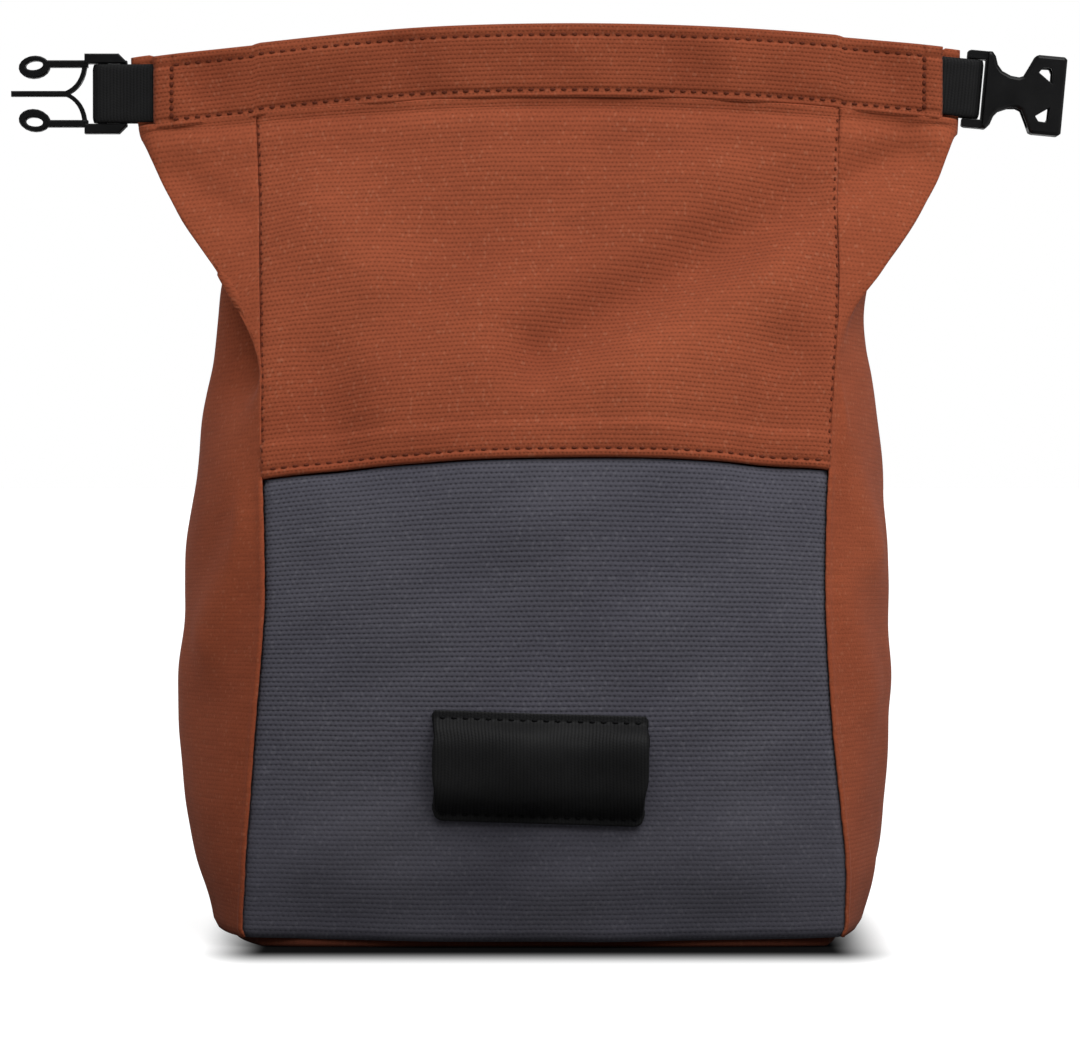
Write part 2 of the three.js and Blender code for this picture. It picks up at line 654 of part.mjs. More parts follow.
// One end of the buckle with its webbing. side is -1 at the left and 1 at the right.
function buckleEnd({ side, mark, barGap, drop, tilt, buckle, solid, webbing }) {
  const barReach = halfPanel + earReach * rim["spine" + mark] + barGap;
  const rimHeight = heightOn(sectionAt(1), side * (barReach - barGap));
  const end = new THREE.Group();
  end.position.set(side * barReach, 0, rimHeight - drop);
  end.rotation.set(0, THREE.MathUtils.degToRad(side * tilt), side < 0 ? Math.PI : 0);
  place(buckle, toGeometry(solid).rotateX(Math.PI / 2), blackPlastic, end);
  place(webbing, webbingTab(barReach), blackWebbing, end);
  bag.add(end);
}

buckleEnd({
  side: -1,
  mark: "L",
  barGap: maleBarGap,
  drop: maleDrop,
  tilt: maleTilt,
  buckle: "buckle_male",
  solid: maleHalf(),
  webbing: "webbing_left",
});
buckleEnd({
  side: 1,
  mark: "R",
  barGap: femaleBarGap,
  drop: femaleDrop,
  tilt: femaleTilt,
  buckle: "buckle_female",
  solid: femaleHalf(),
  webbing: "webbing_right",
});

// Brush loop: a length of wide webbing, sewn down along its top and bottom edges and open at its ends.
function brushLoop() {
  const columns = 6;
  const rows = 13;
  const flange = loopFlange / loopHeight;
  const upLoop = (j) => {
    if (j === 0 || j === rows - 1) return j / (rows - 1);
    const t = (j - 1) / (rows - 3);
    return flange + ((1 - Math.cos(Math.PI * t)) / 2) * (1 - 2 * flange);
  };
  const riseAt = (up) => {
    const t = (up - 0.5) / (0.5 - flange);
    return loopRise * Math.max(1 - t ** loopPower, 0);
  };
  const face = (outward) => (i, j) => {
    const x = loopShift + (i / (columns - 1) - 0.5) * loopWidth;
    const up = upLoop(j);
    const rise = riseAt(up);
    const narrower = outward > 0 || rise === 0 ? 0 : loopThickness / 2;
    const z = loopMiddle + (up - 0.5) * (loopHeight - 2 * narrower) + loopSlope * (x - loopShift);
    return new THREE.Vector3(x, -(faceDepth(share(z), x, -1) + gap + rise + outward), z);
  };
  place("brush_loop", sheetSolid(columns, rows, face(loopThickness), face(0)), blackWebbing);
}

brushLoop();

export default bag;
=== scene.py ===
# %% [markdown]
# # A roll-top chalk bag, standing open
#
# The real bag is sewn from heavy canvas: a front in two colours, a back, two side gussets and a base.
# Its mouth is drawn flat between two webbing tabs, each with one half of a side-release buckle.
# The CAD frame already has every piece in its true place and size, so this lesson only dresses it:
# each cloth piece is built again as a fine grid with its folds, seams and stitches, and takes the
# place of its plain solid. All lengths are in metres, and the front faces -Y.

# %% Load the frame
import math

import bmesh
import bpy
import numpy as np
from mathutils import Matrix, Vector


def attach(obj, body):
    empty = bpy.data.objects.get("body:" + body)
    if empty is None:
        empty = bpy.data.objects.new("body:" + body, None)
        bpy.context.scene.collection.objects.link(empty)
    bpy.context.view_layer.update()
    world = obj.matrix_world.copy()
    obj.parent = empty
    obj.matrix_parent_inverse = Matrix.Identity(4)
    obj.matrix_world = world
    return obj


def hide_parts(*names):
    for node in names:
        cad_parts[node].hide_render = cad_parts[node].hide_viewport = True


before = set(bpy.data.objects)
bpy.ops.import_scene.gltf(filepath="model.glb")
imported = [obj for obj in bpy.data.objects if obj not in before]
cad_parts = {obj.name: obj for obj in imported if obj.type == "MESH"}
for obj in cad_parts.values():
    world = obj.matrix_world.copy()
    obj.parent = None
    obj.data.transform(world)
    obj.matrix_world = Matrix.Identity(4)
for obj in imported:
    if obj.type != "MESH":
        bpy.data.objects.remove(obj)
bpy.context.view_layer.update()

# %% [markdown]
# ## Camera, floor and light
#
# The photograph was taken from the front, a little above half the bag's height and from some way off,
# with a long lens. The set is white paper in soft light from above and in front, so a wide white
# floor, a white surrounding, a very soft sun and a softbox repeat it. A floor with no edge in sight
# needs no painted backdrop, and the bag can be looked at from every side.

# %% Camera
def in_scene(name, data):
    """A new object for this data, in the scene."""
    made = bpy.data.objects.new(name, data)
    bpy.context.scene.collection.objects.link(made)
    return made


def made_mesh(name, bm):
    """The mesh of a bmesh, which is freed."""
    mesh = bpy.data.meshes.new(name)
    bm.to_mesh(mesh)
    bm.free()
    return mesh


def belongs(piece, node=None):
    """Puts a piece on the frame's body, and in place of its CAD node if it has one."""
    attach(piece, "root")
    if node:
        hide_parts(node)


camera = in_scene("camera", bpy.data.cameras.new("camera"))
camera.data.sensor_width = 36
camera.data.lens = 152.5
camera.location = (-0.0026, -1.5, 0.15)
camera.rotation_euler = (math.radians(90 - 0.676), 0, 0)
bpy.context.scene.camera = camera
bpy.context.scene.view_settings.view_transform = "Standard"
print("camera", round(camera.data.lens, 1), "mm, at", tuple(camera.location))

# %% [markdown]
# Shader nodes are made with three small helpers: one sets a socket or joins it, one adds a node with
# its settings, and one does a sum. They keep each material short enough to read as a recipe.

# %% Helpers for shader nodes
def feed(tree, socket, value):
    """Joins a socket to another node's output, or gives it a plain value."""
    if isinstance(value, bpy.types.NodeSocket):
        tree.links.new(value, socket)
    else:
        socket.default_value = value


def add(tree, kind, inputs=None, **settings):
    """A shader node with its settings and inputs."""
    node = tree.nodes.new("ShaderNode" + kind)
    for name, value in settings.items():
        setattr(node, name, value)
    for socket, value in (inputs or {}).items():
        feed(tree, node.inputs[socket], value)
    return node


def calc(tree, operation, *values):
    """The output of a Math node."""
    return add(tree, "Math", dict(enumerate(values)), operation=operation).outputs[0]


def noise(tree, place, scale, detail=2.0):
    """Soft noise between 0 and 1."""
    return add(tree, "TexNoise", {"Vector": place, "Scale": scale, "Detail": detail}).outputs[0]


def emboss(tree, shader, height, strength, distance):
    """Raises a shader's surface by a height, through a Bump node."""
    bump = add(tree, "Bump", {"Height": height, "Strength": strength, "Distance": distance})
    feed(tree, shader.inputs["Normal"], bump.outputs[0])


def mix(tree, factor, first, second):
    """A colour between two colours."""
    return add(tree, "Mix", {0: factor, 6: first, 7: second}, data_type="RGBA").outputs[2]


def group(name, inputs, outputs):
    """A node group with named sockets: its tree, and the sockets to read from and write to."""
    tree = bpy.data.node_groups.new(name, "ShaderNodeTree")
    for label, kind in inputs.items():
        tree.interface.new_socket(label, in_out="INPUT", socket_type="NodeSocket" + kind)
    for label in outputs:
        tree.interface.new_socket(label, in_out="OUTPUT", socket_type="NodeSocketFloat")
    return tree, tree.nodes.new("NodeGroupInput").outputs, tree.nodes.new("NodeGroupOutput").inputs


def use(tree, made, inputs):
    """Places a node group in a material and returns its outputs."""
    node = tree.nodes.new("ShaderNodeGroup")
    node.node_tree = made
    for socket, value in inputs.items():
        feed(tree, node.inputs[socket], value)
    return node.outputs


# %% [markdown]
# The floor is a single large sheet of matte white. Paper this bright would fill every fold with its
# own reflection. Photographers keep that off with black cards, so here the floor and the surrounding
# are seen as white but light the bag much less, least of all from in front. Paper that glows by
# itself shows no shade, so a contact shadow is painted into its glow and colour close to the base.
# A softbox near the bag, high in front and a little to the right, makes its top brighter than its foot.

# %% Floor and light
def new_material(name):
    """A material with a node tree: the material, its tree and its Principled shader."""
    material = bpy.data.materials.new(name)
    material.use_nodes = True
    return material, material.node_tree, material.node_tree.nodes["Principled BSDF"]


def floor_sheet(half_width):
    bm = bmesh.new()
    bmesh.ops.create_grid(bm, x_segments=1, y_segments=1, size=half_width)
    return in_scene("floor", made_mesh("floor", bm))


def paper(name, seen, dim, bright):
    """White paper with a painted contact shadow close to the base. It lights the bag little from in front,
    more from the sides.
    """
    material, tree, shader = new_material(name)
    straight = add(tree, "LightPath").outputs["Is Camera Ray"]
    place = add(tree, "TexCoord").outputs["Object"]
    rightwards, backwards = add(tree, "SeparateXYZ", {0: place}).outputs[:2]
    sideways = calc(tree, "ABSOLUTE", rightwards)
    beside = add(tree, "MapRange", {0: sideways, 1: 0.10, 2: 0.35, 3: 0.0, 4: 1.0}).outputs[0]

    def past(value, edge, fade):
        """0 up to the edge of the deepest shade, and 1 where the shade ends."""
        return calc(tree, "DIVIDE", calc(tree, "MAXIMUM", calc(tree, "SUBTRACT", value, edge), 0.0), fade)

    # A contact shadow is painted on the paper: darkest at the base, fading with the distance from it.
    away = add(tree, "CombineXYZ", {0: past(sideways, 0.089, 0.026),
                                    1: past(calc(tree, "MULTIPLY", backwards, -1.0), 0.068, 0.050),
                                    2: past(backwards, 0.058, 0.030)}).outputs[0]
    from_base = add(tree, "VectorMath", {0: away}, operation="LENGTH").outputs["Value"]
    painted_shadow_fade = add(tree, "MapRange", {0: from_base}, interpolation_type="SMOOTHSTEP").outputs[0]
    shown = add(tree, "VectorMath", {0: seen[:3], "Scale": painted_shadow_fade}, operation="SCALE").outputs[0]
    colour = mix(tree, straight, mix(tree, beside, dim, bright), shown)
    # The painted contact shadow dims the paper's glow as well.
    glow = calc(tree, "MULTIPLY", painted_shadow_fade, calc(tree, "MULTIPLY", straight, 0.85))
    feed(tree, shader.inputs["Emission Color"], (1, 1, 1, 1))
    feed(tree, shader.inputs["Emission Strength"], glow)
    tooth = noise(tree, place, 900.0)
    emboss(tree, shader, tooth, 0.05, 0.0001)
    feed(tree, shader.inputs["Base Color"], colour)
    shader.inputs["Roughness"].default_value = 0.95
    shader.inputs["Specular IOR Level"].default_value = 0.1
    return material


floor = floor_sheet(40)
greys = [(share, share, share, 1) for share in (0.35, 0.10, 0.75)]
floor.data.materials.append(paper("white_paper", *greys))

world = bpy.data.worlds.new("studio")
world.use_nodes = True
bpy.context.scene.world = world
sky = world.node_tree
sky.nodes.clear()
sideways = add(sky, "SeparateXYZ", {0: add(sky, "TexCoord").outputs["Generated"]}).outputs[0]
strength = calc(sky, "MULTIPLY_ADD", calc(sky, "POWER", calc(sky, "ABSOLUTE", sideways), 2.0), 0.29, 0.12)
lighting = add(sky, "Background", {"Color": (1, 1, 1, 1), "Strength": strength}).outputs[0]
seen = add(sky, "Background", {"Color": (1, 1, 1, 1), "Strength": 1.0}).outputs[0]
straight = add(sky, "LightPath").outputs["Is Camera Ray"]
shown = add(sky, "MixShader", {0: straight, 1: lighting, 2: seen}).outputs[0]
feed(sky, add(sky, "OutputWorld").inputs["Surface"], shown)

sun = in_scene("soft_sun", bpy.data.lights.new("soft_sun", "SUN"))
sun.data.energy = 2.8
sun.data.angle = math.radians(70)
sun.rotation_euler = (math.radians(28), 0, math.radians(20))

softbox = in_scene("softbox", bpy.data.lights.new("softbox", "AREA"))
softbox.data.shape = "DISK"
softbox.data.size = 0.45
softbox.data.energy = 2.2
softbox.location = (0.34, -0.55, 0.70)
aim = Vector((0, 0, 0.17)) - softbox.location
softbox.rotation_euler = aim.to_track_quat("-Z", "Y").to_euler()
print("floor and lights ready")

# %% [markdown]
# ## Canvas
#
# The cloth is a heavy plain-weave canvas. Thick level threads make ribs 1.35 mm apart, and the thinner
# upright threads cross over and under them, which leaves rows of small staggered lumps with dark
# holes between. A photograph could be wrapped on for this, but sines of the cloth's own flat
# position are sharper, follow every fold and can be given another size. One group holds the weave,
# and each colour of canvas uses it.

# %% The weave
weave, given, result = group(
    "canvas_weave",
    {"Cloth": "Vector", "Rib Pitch": "Float", "Warp Pitch": "Float", "Depth": "Float"},
    ("Height", "Shade", "Fleck"),
)
on_cloth = add(weave, "SeparateXYZ", {0: given["Cloth"]}).outputs
drift = noise(weave, given["Cloth"], 90.0)
up = calc(weave, "MULTIPLY_ADD", drift, 0.0005, on_cloth[1])
ribs = calc(weave, "DIVIDE", up, given["Rib Pitch"])
warps = calc(weave, "DIVIDE", on_cloth[0], given["Warp Pitch"])
rib = calc(weave, "ABSOLUTE", calc(weave, "SINE", calc(weave, "MULTIPLY", ribs, math.pi)))
valley = calc(weave, "SUBTRACT", 1.0, rib)
odd_or_even = calc(weave, "COSINE", calc(weave, "MULTIPLY", ribs, math.pi))
crossing = calc(weave, "COSINE", calc(weave, "MULTIPLY", warps, 2 * math.pi))
staggered = calc(weave, "MULTIPLY_ADD", calc(weave, "MULTIPLY", odd_or_even, crossing), 0.5, 0.5)
hole = calc(weave, "MULTIPLY", valley, calc(weave, "POWER", staggered, 1.5))
lowered = calc(weave, "MULTIPLY_ADD", valley, 0.35, calc(weave, "MULTIPLY", hole, 0.65))
height = calc(weave, "SUBTRACT", 1.0, lowered)
thread = add(weave, "CombineXYZ", {0: calc(weave, "MULTIPLY", on_cloth[0], 60.0),
                                   1: calc(weave, "FLOOR", ribs)}).outputs[0]
streak = noise(weave, thread, 1.0, 3.0)
cell = add(weave, "CombineXYZ", {0: calc(weave, "FLOOR", calc(weave, "MULTIPLY", warps, 2.0)),
                                 1: calc(weave, "FLOOR", ribs)}).outputs[0]
luck = add(weave, "TexWhiteNoise", {"Vector": cell}, noise_dimensions="2D").outputs[0]
darkening = calc(weave, "MULTIPLY_ADD", valley, 0.10, calc(weave, "MULTIPLY", hole, 0.50))
lint = noise(weave, given["Cloth"], 1100.0)
streaky = calc(weave, "MULTIPLY_ADD", streak, 0.35, calc(weave, "MULTIPLY_ADD", lint, 0.5, 0.575))
woven = calc(weave, "SUBTRACT", calc(weave, "MULTIPLY", darkening, given["Depth"]), streaky)
feed(weave, result["Height"], calc(weave, "MULTIPLY", height, given["Depth"]))
feed(weave, result["Shade"], calc(weave, "MULTIPLY", woven, -1.0))
feed(weave, result["Fleck"], calc(weave, "MULTIPLY", calc(weave, "GREATER_THAN", luck, 0.95), rib))
print("weave group:", len(weave.nodes), "nodes")

# %% [markdown]
# Dyed cotton is never one flat colour. Its colour is cloudy over a few centimetres, single threads
# took more or less of it, lint catches the light as tiny pale flecks, and ridges that are rubbed go
# paler. The hollows of the folds are painted darker too, a painted shade. These last two read an
# attribute called "wear_and_shade", which every cloth piece carries. Another, "crisp", says how
# clearly the threads stand out: where cloth is pressed and turned away they flatten.

# %% Canvas in two colours, and bare thread
def canvas(name, rib_pitch, warp_pitch, depth, deep, pale, lint):
    """Woven canvas between a deep and a pale colour, with lint of a third colour; rubbed wear and painted
    fold shade move it between the two.
    """
    material, tree, shader = new_material(name)
    cloth = add(tree, "UVMap", uv_map="cloth").outputs[0]
    crisp = add(tree, "Attribute", attribute_name="crisp").outputs["Fac"]
    threads = use(tree, weave, {"Cloth": cloth, "Rib Pitch": rib_pitch, "Warp Pitch": warp_pitch,
                                "Depth": calc(tree, "MULTIPLY", crisp, depth)})
    place = add(tree, "TexCoord").outputs["Object"]
    clouds = noise(tree, place, 28.0, 3.0)
    # This attribute makes rubbed ridges paler and paints shade into the hollows of the folds.
    wear_and_shade = add(tree, "Attribute", attribute_name="wear_and_shade").outputs["Fac"]
    tone_and_shade = calc(tree, "ADD", calc(tree, "MULTIPLY_ADD", clouds, 0.9, -0.45), wear_and_shade)
    colour = mix(tree, calc(tree, "MULTIPLY_ADD", tone_and_shade, 1.0, 0.5), deep, pale)
    shaded = add(tree, "VectorMath", {0: colour, "Scale": threads["Shade"]}, operation="SCALE")
    flecked = mix(tree, calc(tree, "MULTIPLY", threads["Fleck"], 0.10), shaded.outputs[0], lint)
    fuzz = noise(tree, place, 2600.0)
    relief = calc(tree, "MULTIPLY_ADD", fuzz, 0.25, threads["Height"])
    emboss(tree, shader, relief, 0.6, 0.0004)
    feed(tree, shader.inputs["Base Color"], flecked)
    feed(tree, shader.inputs["Roughness"], calc(tree, "MULTIPLY_ADD", threads["Height"], -0.15, 0.95))
    shader.inputs["Specular IOR Level"].default_value = 0.12
    shader.inputs["Sheen Weight"].default_value = 0.03
    shader.inputs["Sheen Roughness"].default_value = 0.45
    return material


def sewing_thread(name, colour):
    """Twisted polyester thread, a little shiny."""
    material, tree, shader = new_material(name)
    place = add(tree, "TexCoord").outputs["Object"]
    twist = noise(tree, place, 3000.0)
    dark = tuple(0.6 * c for c in colour[:3]) + (1,)
    feed(tree, shader.inputs["Base Color"], mix(tree, twist, dark, colour))
    emboss(tree, shader, twist, 0.4, 0.0001)
    shader.inputs["Roughness"].default_value = 0.7
    shader.inputs["Specular IOR Level"].default_value = 0.08
    return material


rust = canvas("rust_canvas", 0.00141, 0.00135, 0.75,
              (0.205, 0.044, 0.018, 1), (0.30, 0.073, 0.031, 1), (0.55, 0.28, 0.17, 1))
slate = canvas("slate_canvas", 0.00157, 0.00160, 1.0,
               (0.054, 0.052, 0.068, 1), (0.084, 0.082, 0.098, 1), (0.22, 0.22, 0.24, 1))
# The base is a darker copy of the rust canvas, a painted shade for the shadow it lies in under the front.
painted_shade_base_canvas = canvas("painted_shade_base_canvas", 0.00141, 0.00135, 0.75,
                     (0.055, 0.014, 0.007, 1), (0.10, 0.027, 0.013, 1), (0.2, 0.1, 0.06, 1))
rust_thread = sewing_thread("rust_thread", (0.125, 0.028, 0.013, 1))
black_thread = sewing_thread("black_thread", (0.004, 0.004, 0.0045, 1))
print("canvas:", rust.name, slate.name)

# %% [markdown]
# ## The bag's form
#
# The bag is one lofted shell. A table gives its level sections from the floor to the rim, in shares
# of a few named sizes: how wide and deep the panels stand, how far each gusset bellies out, and how
# it folds into an ear under the collar. The frame's solids come from nearly the same table, so what
# is built from it here lands on them.

# %% Named sizes and the section table
bag_height = 0.295
half_panel = 0.0955
half_base = 0.056
ear_reach = 0.042
belly_reach = 0.028
crown_rise = 0.008
pocket_depth = 0.0095
rim_arch = 0.0041
fold_depth = 0.0052
cloth_thickness, thin_cloth = 0.0016, 0.0008
nose_depth = 0.00175
seam_height = 0.155

columns = (
    "rise width depth crown arch tilt lean fold crease "
    "belly_l belly_r dent_l dent_r ridge_l ridge_r spine_l spine_r"
).split()
sections = """
0.0 1.004 0.985 0.45 -0.3 0 -0.008 0.8 0 0.43 0.245 0 0 0 0 0 0
0.085 0.998 1.02 0.8 -0.1 0 -0.004 0.8 0 0.69 0.47 0 0 0 0 0 0
0.153 0.98 1.03 0.95 0 0 -0.005 0.8 0 0.87 0.605 0 0 0 0 0 0
0.237 0.957 1.03 1.0 0 0 -0.007 0.8 0 0.99 0.755 0 0 0 0 0 0
0.329 0.937 1.02 1.0 0.3 0.1 -0.006 0.8 0 1.05 0.83 0 0 0 0 0 0
0.386 0.93 1.0 1.0 0.6 0.2 -0.005 0.8 0 1.05 0.84 0 0 0 0 0 0
0.464 0.934 0.96 1.05 1.1 0.3 -0.005 0.8 0 0.99 0.8 0 0 0 0 0 0
0.542 0.945 0.89 1.1 1.55 0.4 -0.004 0.82 0 0.875 0.71 0.13 0 0 0 0 0
0.6 0.955 0.81 1.05 1.5 0.4 -0.002 0.88 0.3 0.77 0.59 0.5 0.1 0 0 0 0
0.635 0.96 0.755 1.0 1.5 0.4 0 0.92 0.7 0.7 0.5 1.05 0.2 0.02 0.02 0 0
0.665 0.966 0.695 0.95 1.45 0.35 0.001 0.9 1 0.615 0.42 1.3 0.3 0.07 0.07 0 0
0.712 0.972 0.6 0.9 1.4 0.35 0.002 0.79 1 0.54 0.37 1.3 0.4 0.21 0.24 0 0
0.746 0.976 0.52 0.85 1.35 0.3 0.002 0.69 1 0.47 0.37 1.05 0.35 0.33 0.352 0 0.01
0.78 0.978 0.43 0.8 1.25 0.3 0.001 0.575 1 0.33 0.28 0.65 0.2 0.47 0.51 0.1 0.15
0.82 0.98 0.33 0.75 1.15 0.25 0 0.42 1 0.18 0.15 0.25 0.1 0.645 0.69 0.35 0.41
0.858 0.986 0.24 0.7 1.1 0.2 0 0.29 1 0.05 0.05 0 0 0.785 0.82 0.62 0.665
0.895 0.992 0.145 0.65 1.0 0.2 0 0.18 1 0 0 0 0 0.885 0.905 0.79 0.83
0.912 0.995 0.075 0.6 1.0 0.2 0 0.08 1 0 0 0 0 0.925 0.933 0.92 0.95
1.0 0.996 0.075 0.75 1.0 0.2 0 0.08 1 0 0 0 0 0.99 0.945 1.0 0.965
"""
sections = np.array([row.split() for row in sections.strip().splitlines()], float)


def between(column, rise):
    """A smooth value between the rows of the section table, which never overshoots them."""
    knots, values = sections[:, 0], sections[:, columns.index(column)]
    spans = np.diff(knots)
    grades = np.diff(values) / spans
    same_way = grades[:-1] * grades[1:] > 0
    total = np.where(same_way, grades[:-1] + grades[1:], 1)
    slopes = np.pad(np.where(same_way, 2 * grades[:-1] * grades[1:] / total, 0), 1)
    at = np.clip(rise, 0, 1)
    i = np.clip(np.searchsorted(knots, at), 1, len(knots) - 1)
    t = (at - knots[i - 1]) / spans[i - 1]
    eased = t * t * (3 - 2 * t)
    bend = slopes[i - 1] * t * (1 - t) ** 2 + slopes[i] * t * t * (t - 1)
    return values[i - 1] * (1 - eased) + values[i] * eased + spans[i - 1] * bend


print("waist, half width in mm:", round(1000 * half_panel * float(between("width", 0.386)), 1))

# %% [markdown]
# Three functions turn the table into points. A panel bows out between its seams. A gusset is one
# full curve low down, and under the collar it is an ear with two folded edges. Level lines sag a
# little towards the sides, as the cloth does when the bag is stood up by its stiff mouth.

# %% Points on the walls
def step(value, start, end):
    """0 before start, 1 after end, and smooth between."""
    t = np.clip((value - start) / (end - start), 0, 1)
    return t * t * (3 - 2 * t)


def nearness(distance, spread):
    """1 on a line, and smoothly 0 a few spreads away from it."""
    return np.exp(-((distance / spread) ** 2))


def level(rise, x):
    """The height of a point on a level line of the cloth."""
    sag = between("arch", rise) * rim_arch * (x / half_panel) ** 2
    return rise * bag_height - sag + between("tilt", rise) * rim_arch * x / half_panel


def panel_face(rise, across, facing):
    """Points on the front (facing -1) or back (facing 1), across from -1 to 1 towards +X."""
    x = across * between("width", rise) * half_panel
    depth = between("depth", rise) * half_base + between("crown", rise) * crown_rise * (1 - across**2)
    return np.stack([x + between("lean", rise) * 2 * half_panel, facing * depth, level(rise, x)], -1)


def ridge_depth(rise):
    """How far an ear's folded edge stands from the middle plane."""
    fold = between("fold", rise)
    tightest = sections[-1, columns.index("fold")]
    pinch = np.maximum((fold - tightest) / (1 - tightest), 0) ** 0.25
    return nose_depth + (between("depth", rise) * half_base - nose_depth) * pinch


def gusset_face(rise, around, side):
    """Points on a gusset, around from -1 at its front seam to 1 at its back seam."""
    mark = "l" if side < 0 else "r"
    width = between("width", rise) * half_panel
    depth = between("depth", rise) * half_base
    fold, crease = between("fold", rise), between("crease", rise)
    if side > 0:
        crease = crease * step(rise, 0.62, 0.745)
    ridge = width + between("ridge_" + mark, rise) * ear_reach
    spine = width + between("belly_" + mark, rise) * belly_reach + between("spine_" + mark, rise) * ear_reach
    reach = np.abs(around)
    t = reach / fold
    on_ear = (reach - fold) / (1 - fold)
    inner = np.minimum(t, 1)
    hollow = between("dent_" + mark, rise) * pocket_depth * 4 * inner**4 * (1 - inner**4)
    folded_x = spine + (ridge - spine) * inner**2.2 - hollow
    ear_x = np.where(t > 1, ridge + (width - ridge) * on_ear, folded_x)
    edge = ridge_depth(rise)
    ear_y = np.where(t > 1, edge + (depth - edge) * on_ear, edge * t)
    full_x = spine + (width - spine) * reach**2.2
    x = side * (full_x + (ear_x - full_x) * crease)
    y = np.sign(around) * (depth * reach + (ear_y - depth * reach) * crease)
    return np.stack([x + between("lean", rise) * 2 * half_panel, y, level(rise, x)], -1)


def wall_depth(rise, x):
    """Depth of the walls' outer face at a distance x from the middle, over a panel and on to the ears."""
    lean = between("lean", rise) * 2 * half_panel
    width = between("width", rise) * half_panel
    across = (x - lean) / width
    crown = between("crown", rise) * crown_rise * np.maximum(1 - across**2, 0)
    on_panel = between("depth", rise) * half_base + crown
    ridge = width + ear_reach * np.where(x < 0, between("ridge_l", rise), between("ridge_r", rise))
    on_ear = np.clip((np.abs(x - lean) - width) / np.maximum(ridge - width, 0.001), 0, 1)
    edge = between("depth", rise) * half_base
    return np.where(np.abs(across) <= 1, on_panel, edge + (ridge_depth(rise) - edge) * on_ear)


# %% [markdown]
# Soft folds give the bag its life. Each is a line on a wall with a height and a spread, like a
# finger drawn over clay, and a few seeded waves of 15 to 60 mm add the slight unevenness that heavy
# canvas always has. They fade at the seams, where the cloth is held, and under the collar.

# %% Folds
soft_folds = [
    # wall, across and rise at one end, across and rise at the other, spread in metres, height
    ("front", 1.07, 0.855, -0.02, 0.645, 0.0115, -1.35),
    ("front", 0.9, 0.76, 0.35, 0.60, 0.0150, 0.5),
    ("front", -0.45, 0.74, 0.05, 0.77, 0.0190, -0.7),
    ("front", -0.85, 0.79, -0.6, 0.74, 0.0135, 0.5),
    ("front", 0.85, 0.64, 0.78, 0.54, 0.0120, -0.8),
    ("front", -0.80, 0.63, -0.72, 0.55, 0.0125, -0.7),
    ("left", -0.8, 0.47, -0.55, 0.34, 0.0115, 0.4),
    ("right", -0.8, 0.57, -0.5, 0.44, 0.0115, 0.5),
    ("right", -0.75, 0.38, -0.55, 0.27, 0.0115, 0.4),
]


def folds(wall, at, rise):
    """How far the soft folds of a wall lift its points."""
    height = np.zeros(np.shape(at))
    for name, at1, rise1, at2, rise2, spread, lift in soft_folds:
        if name != wall:
            continue
        start = np.array([at1 * half_panel, rise1 * bag_height])
        line = np.array([at2 * half_panel, rise2 * bag_height]) - start
        point = np.stack([at * half_panel, rise * bag_height], -1) - start
        reached = np.clip(point @ line / (line @ line), 0, 1)[..., None]
        distance = np.linalg.norm(point - reached * line, axis=-1)
        height += lift * fold_depth * nearness(distance, spread)
    return height * step(0.93 - rise, 0, 0.06) * (1 - np.abs(at) ** 8)


def ear_dents(points):
    """The pressed-in creases on the front of the two ears, as distances from short lines there."""
    height = 0
    for start, end, spread, lift in (
        ((0.117, 0.2565), (0.094, 0.2440), 0.0066, -0.0036),
        ((-0.118, 0.246), (-0.099, 0.233), 0.0060, -0.0010),
    ):
        start, line = np.array(start), np.array(end) - np.array(start)
        offset = points[..., (0, 2)] - start
        reached = np.clip(offset @ line / (line @ line), 0, 1)[..., None]
        distance = np.linalg.norm(offset - reached * line, axis=-1)
        height = height + lift * nearness(distance, spread)
    return np.where(points[..., 1] < 0, height, 0)


def unevenness(x, z, seed, height=0.00022):
    """A few seeded waves, 15 to 60 mm long."""
    rng = np.random.default_rng(seed)
    total = 0
    for _ in range(14):
        length, turn, start = rng.uniform(0.015, 0.06), rng.uniform(0, math.pi), rng.uniform(0, 2 * math.pi)
        total = total + length * np.sin(
            2 * math.pi / length * (x * math.cos(turn) + z * math.sin(turn)) + start
        )
    return total * height / 0.06


# %% [markdown]
# ## From points to cloth
#
# A cloth piece starts as a bmesh grid. Its vertices are moved to the points of the wall, its UV map
# gets the cloth's own flat measures, so that the ribs of the weave run level along it, and a
# Solidify modifier gives it its thickness inwards. Cloth simulation could drape these pieces too,
# but the photographed folds are known, and placing them keeps them where they are.

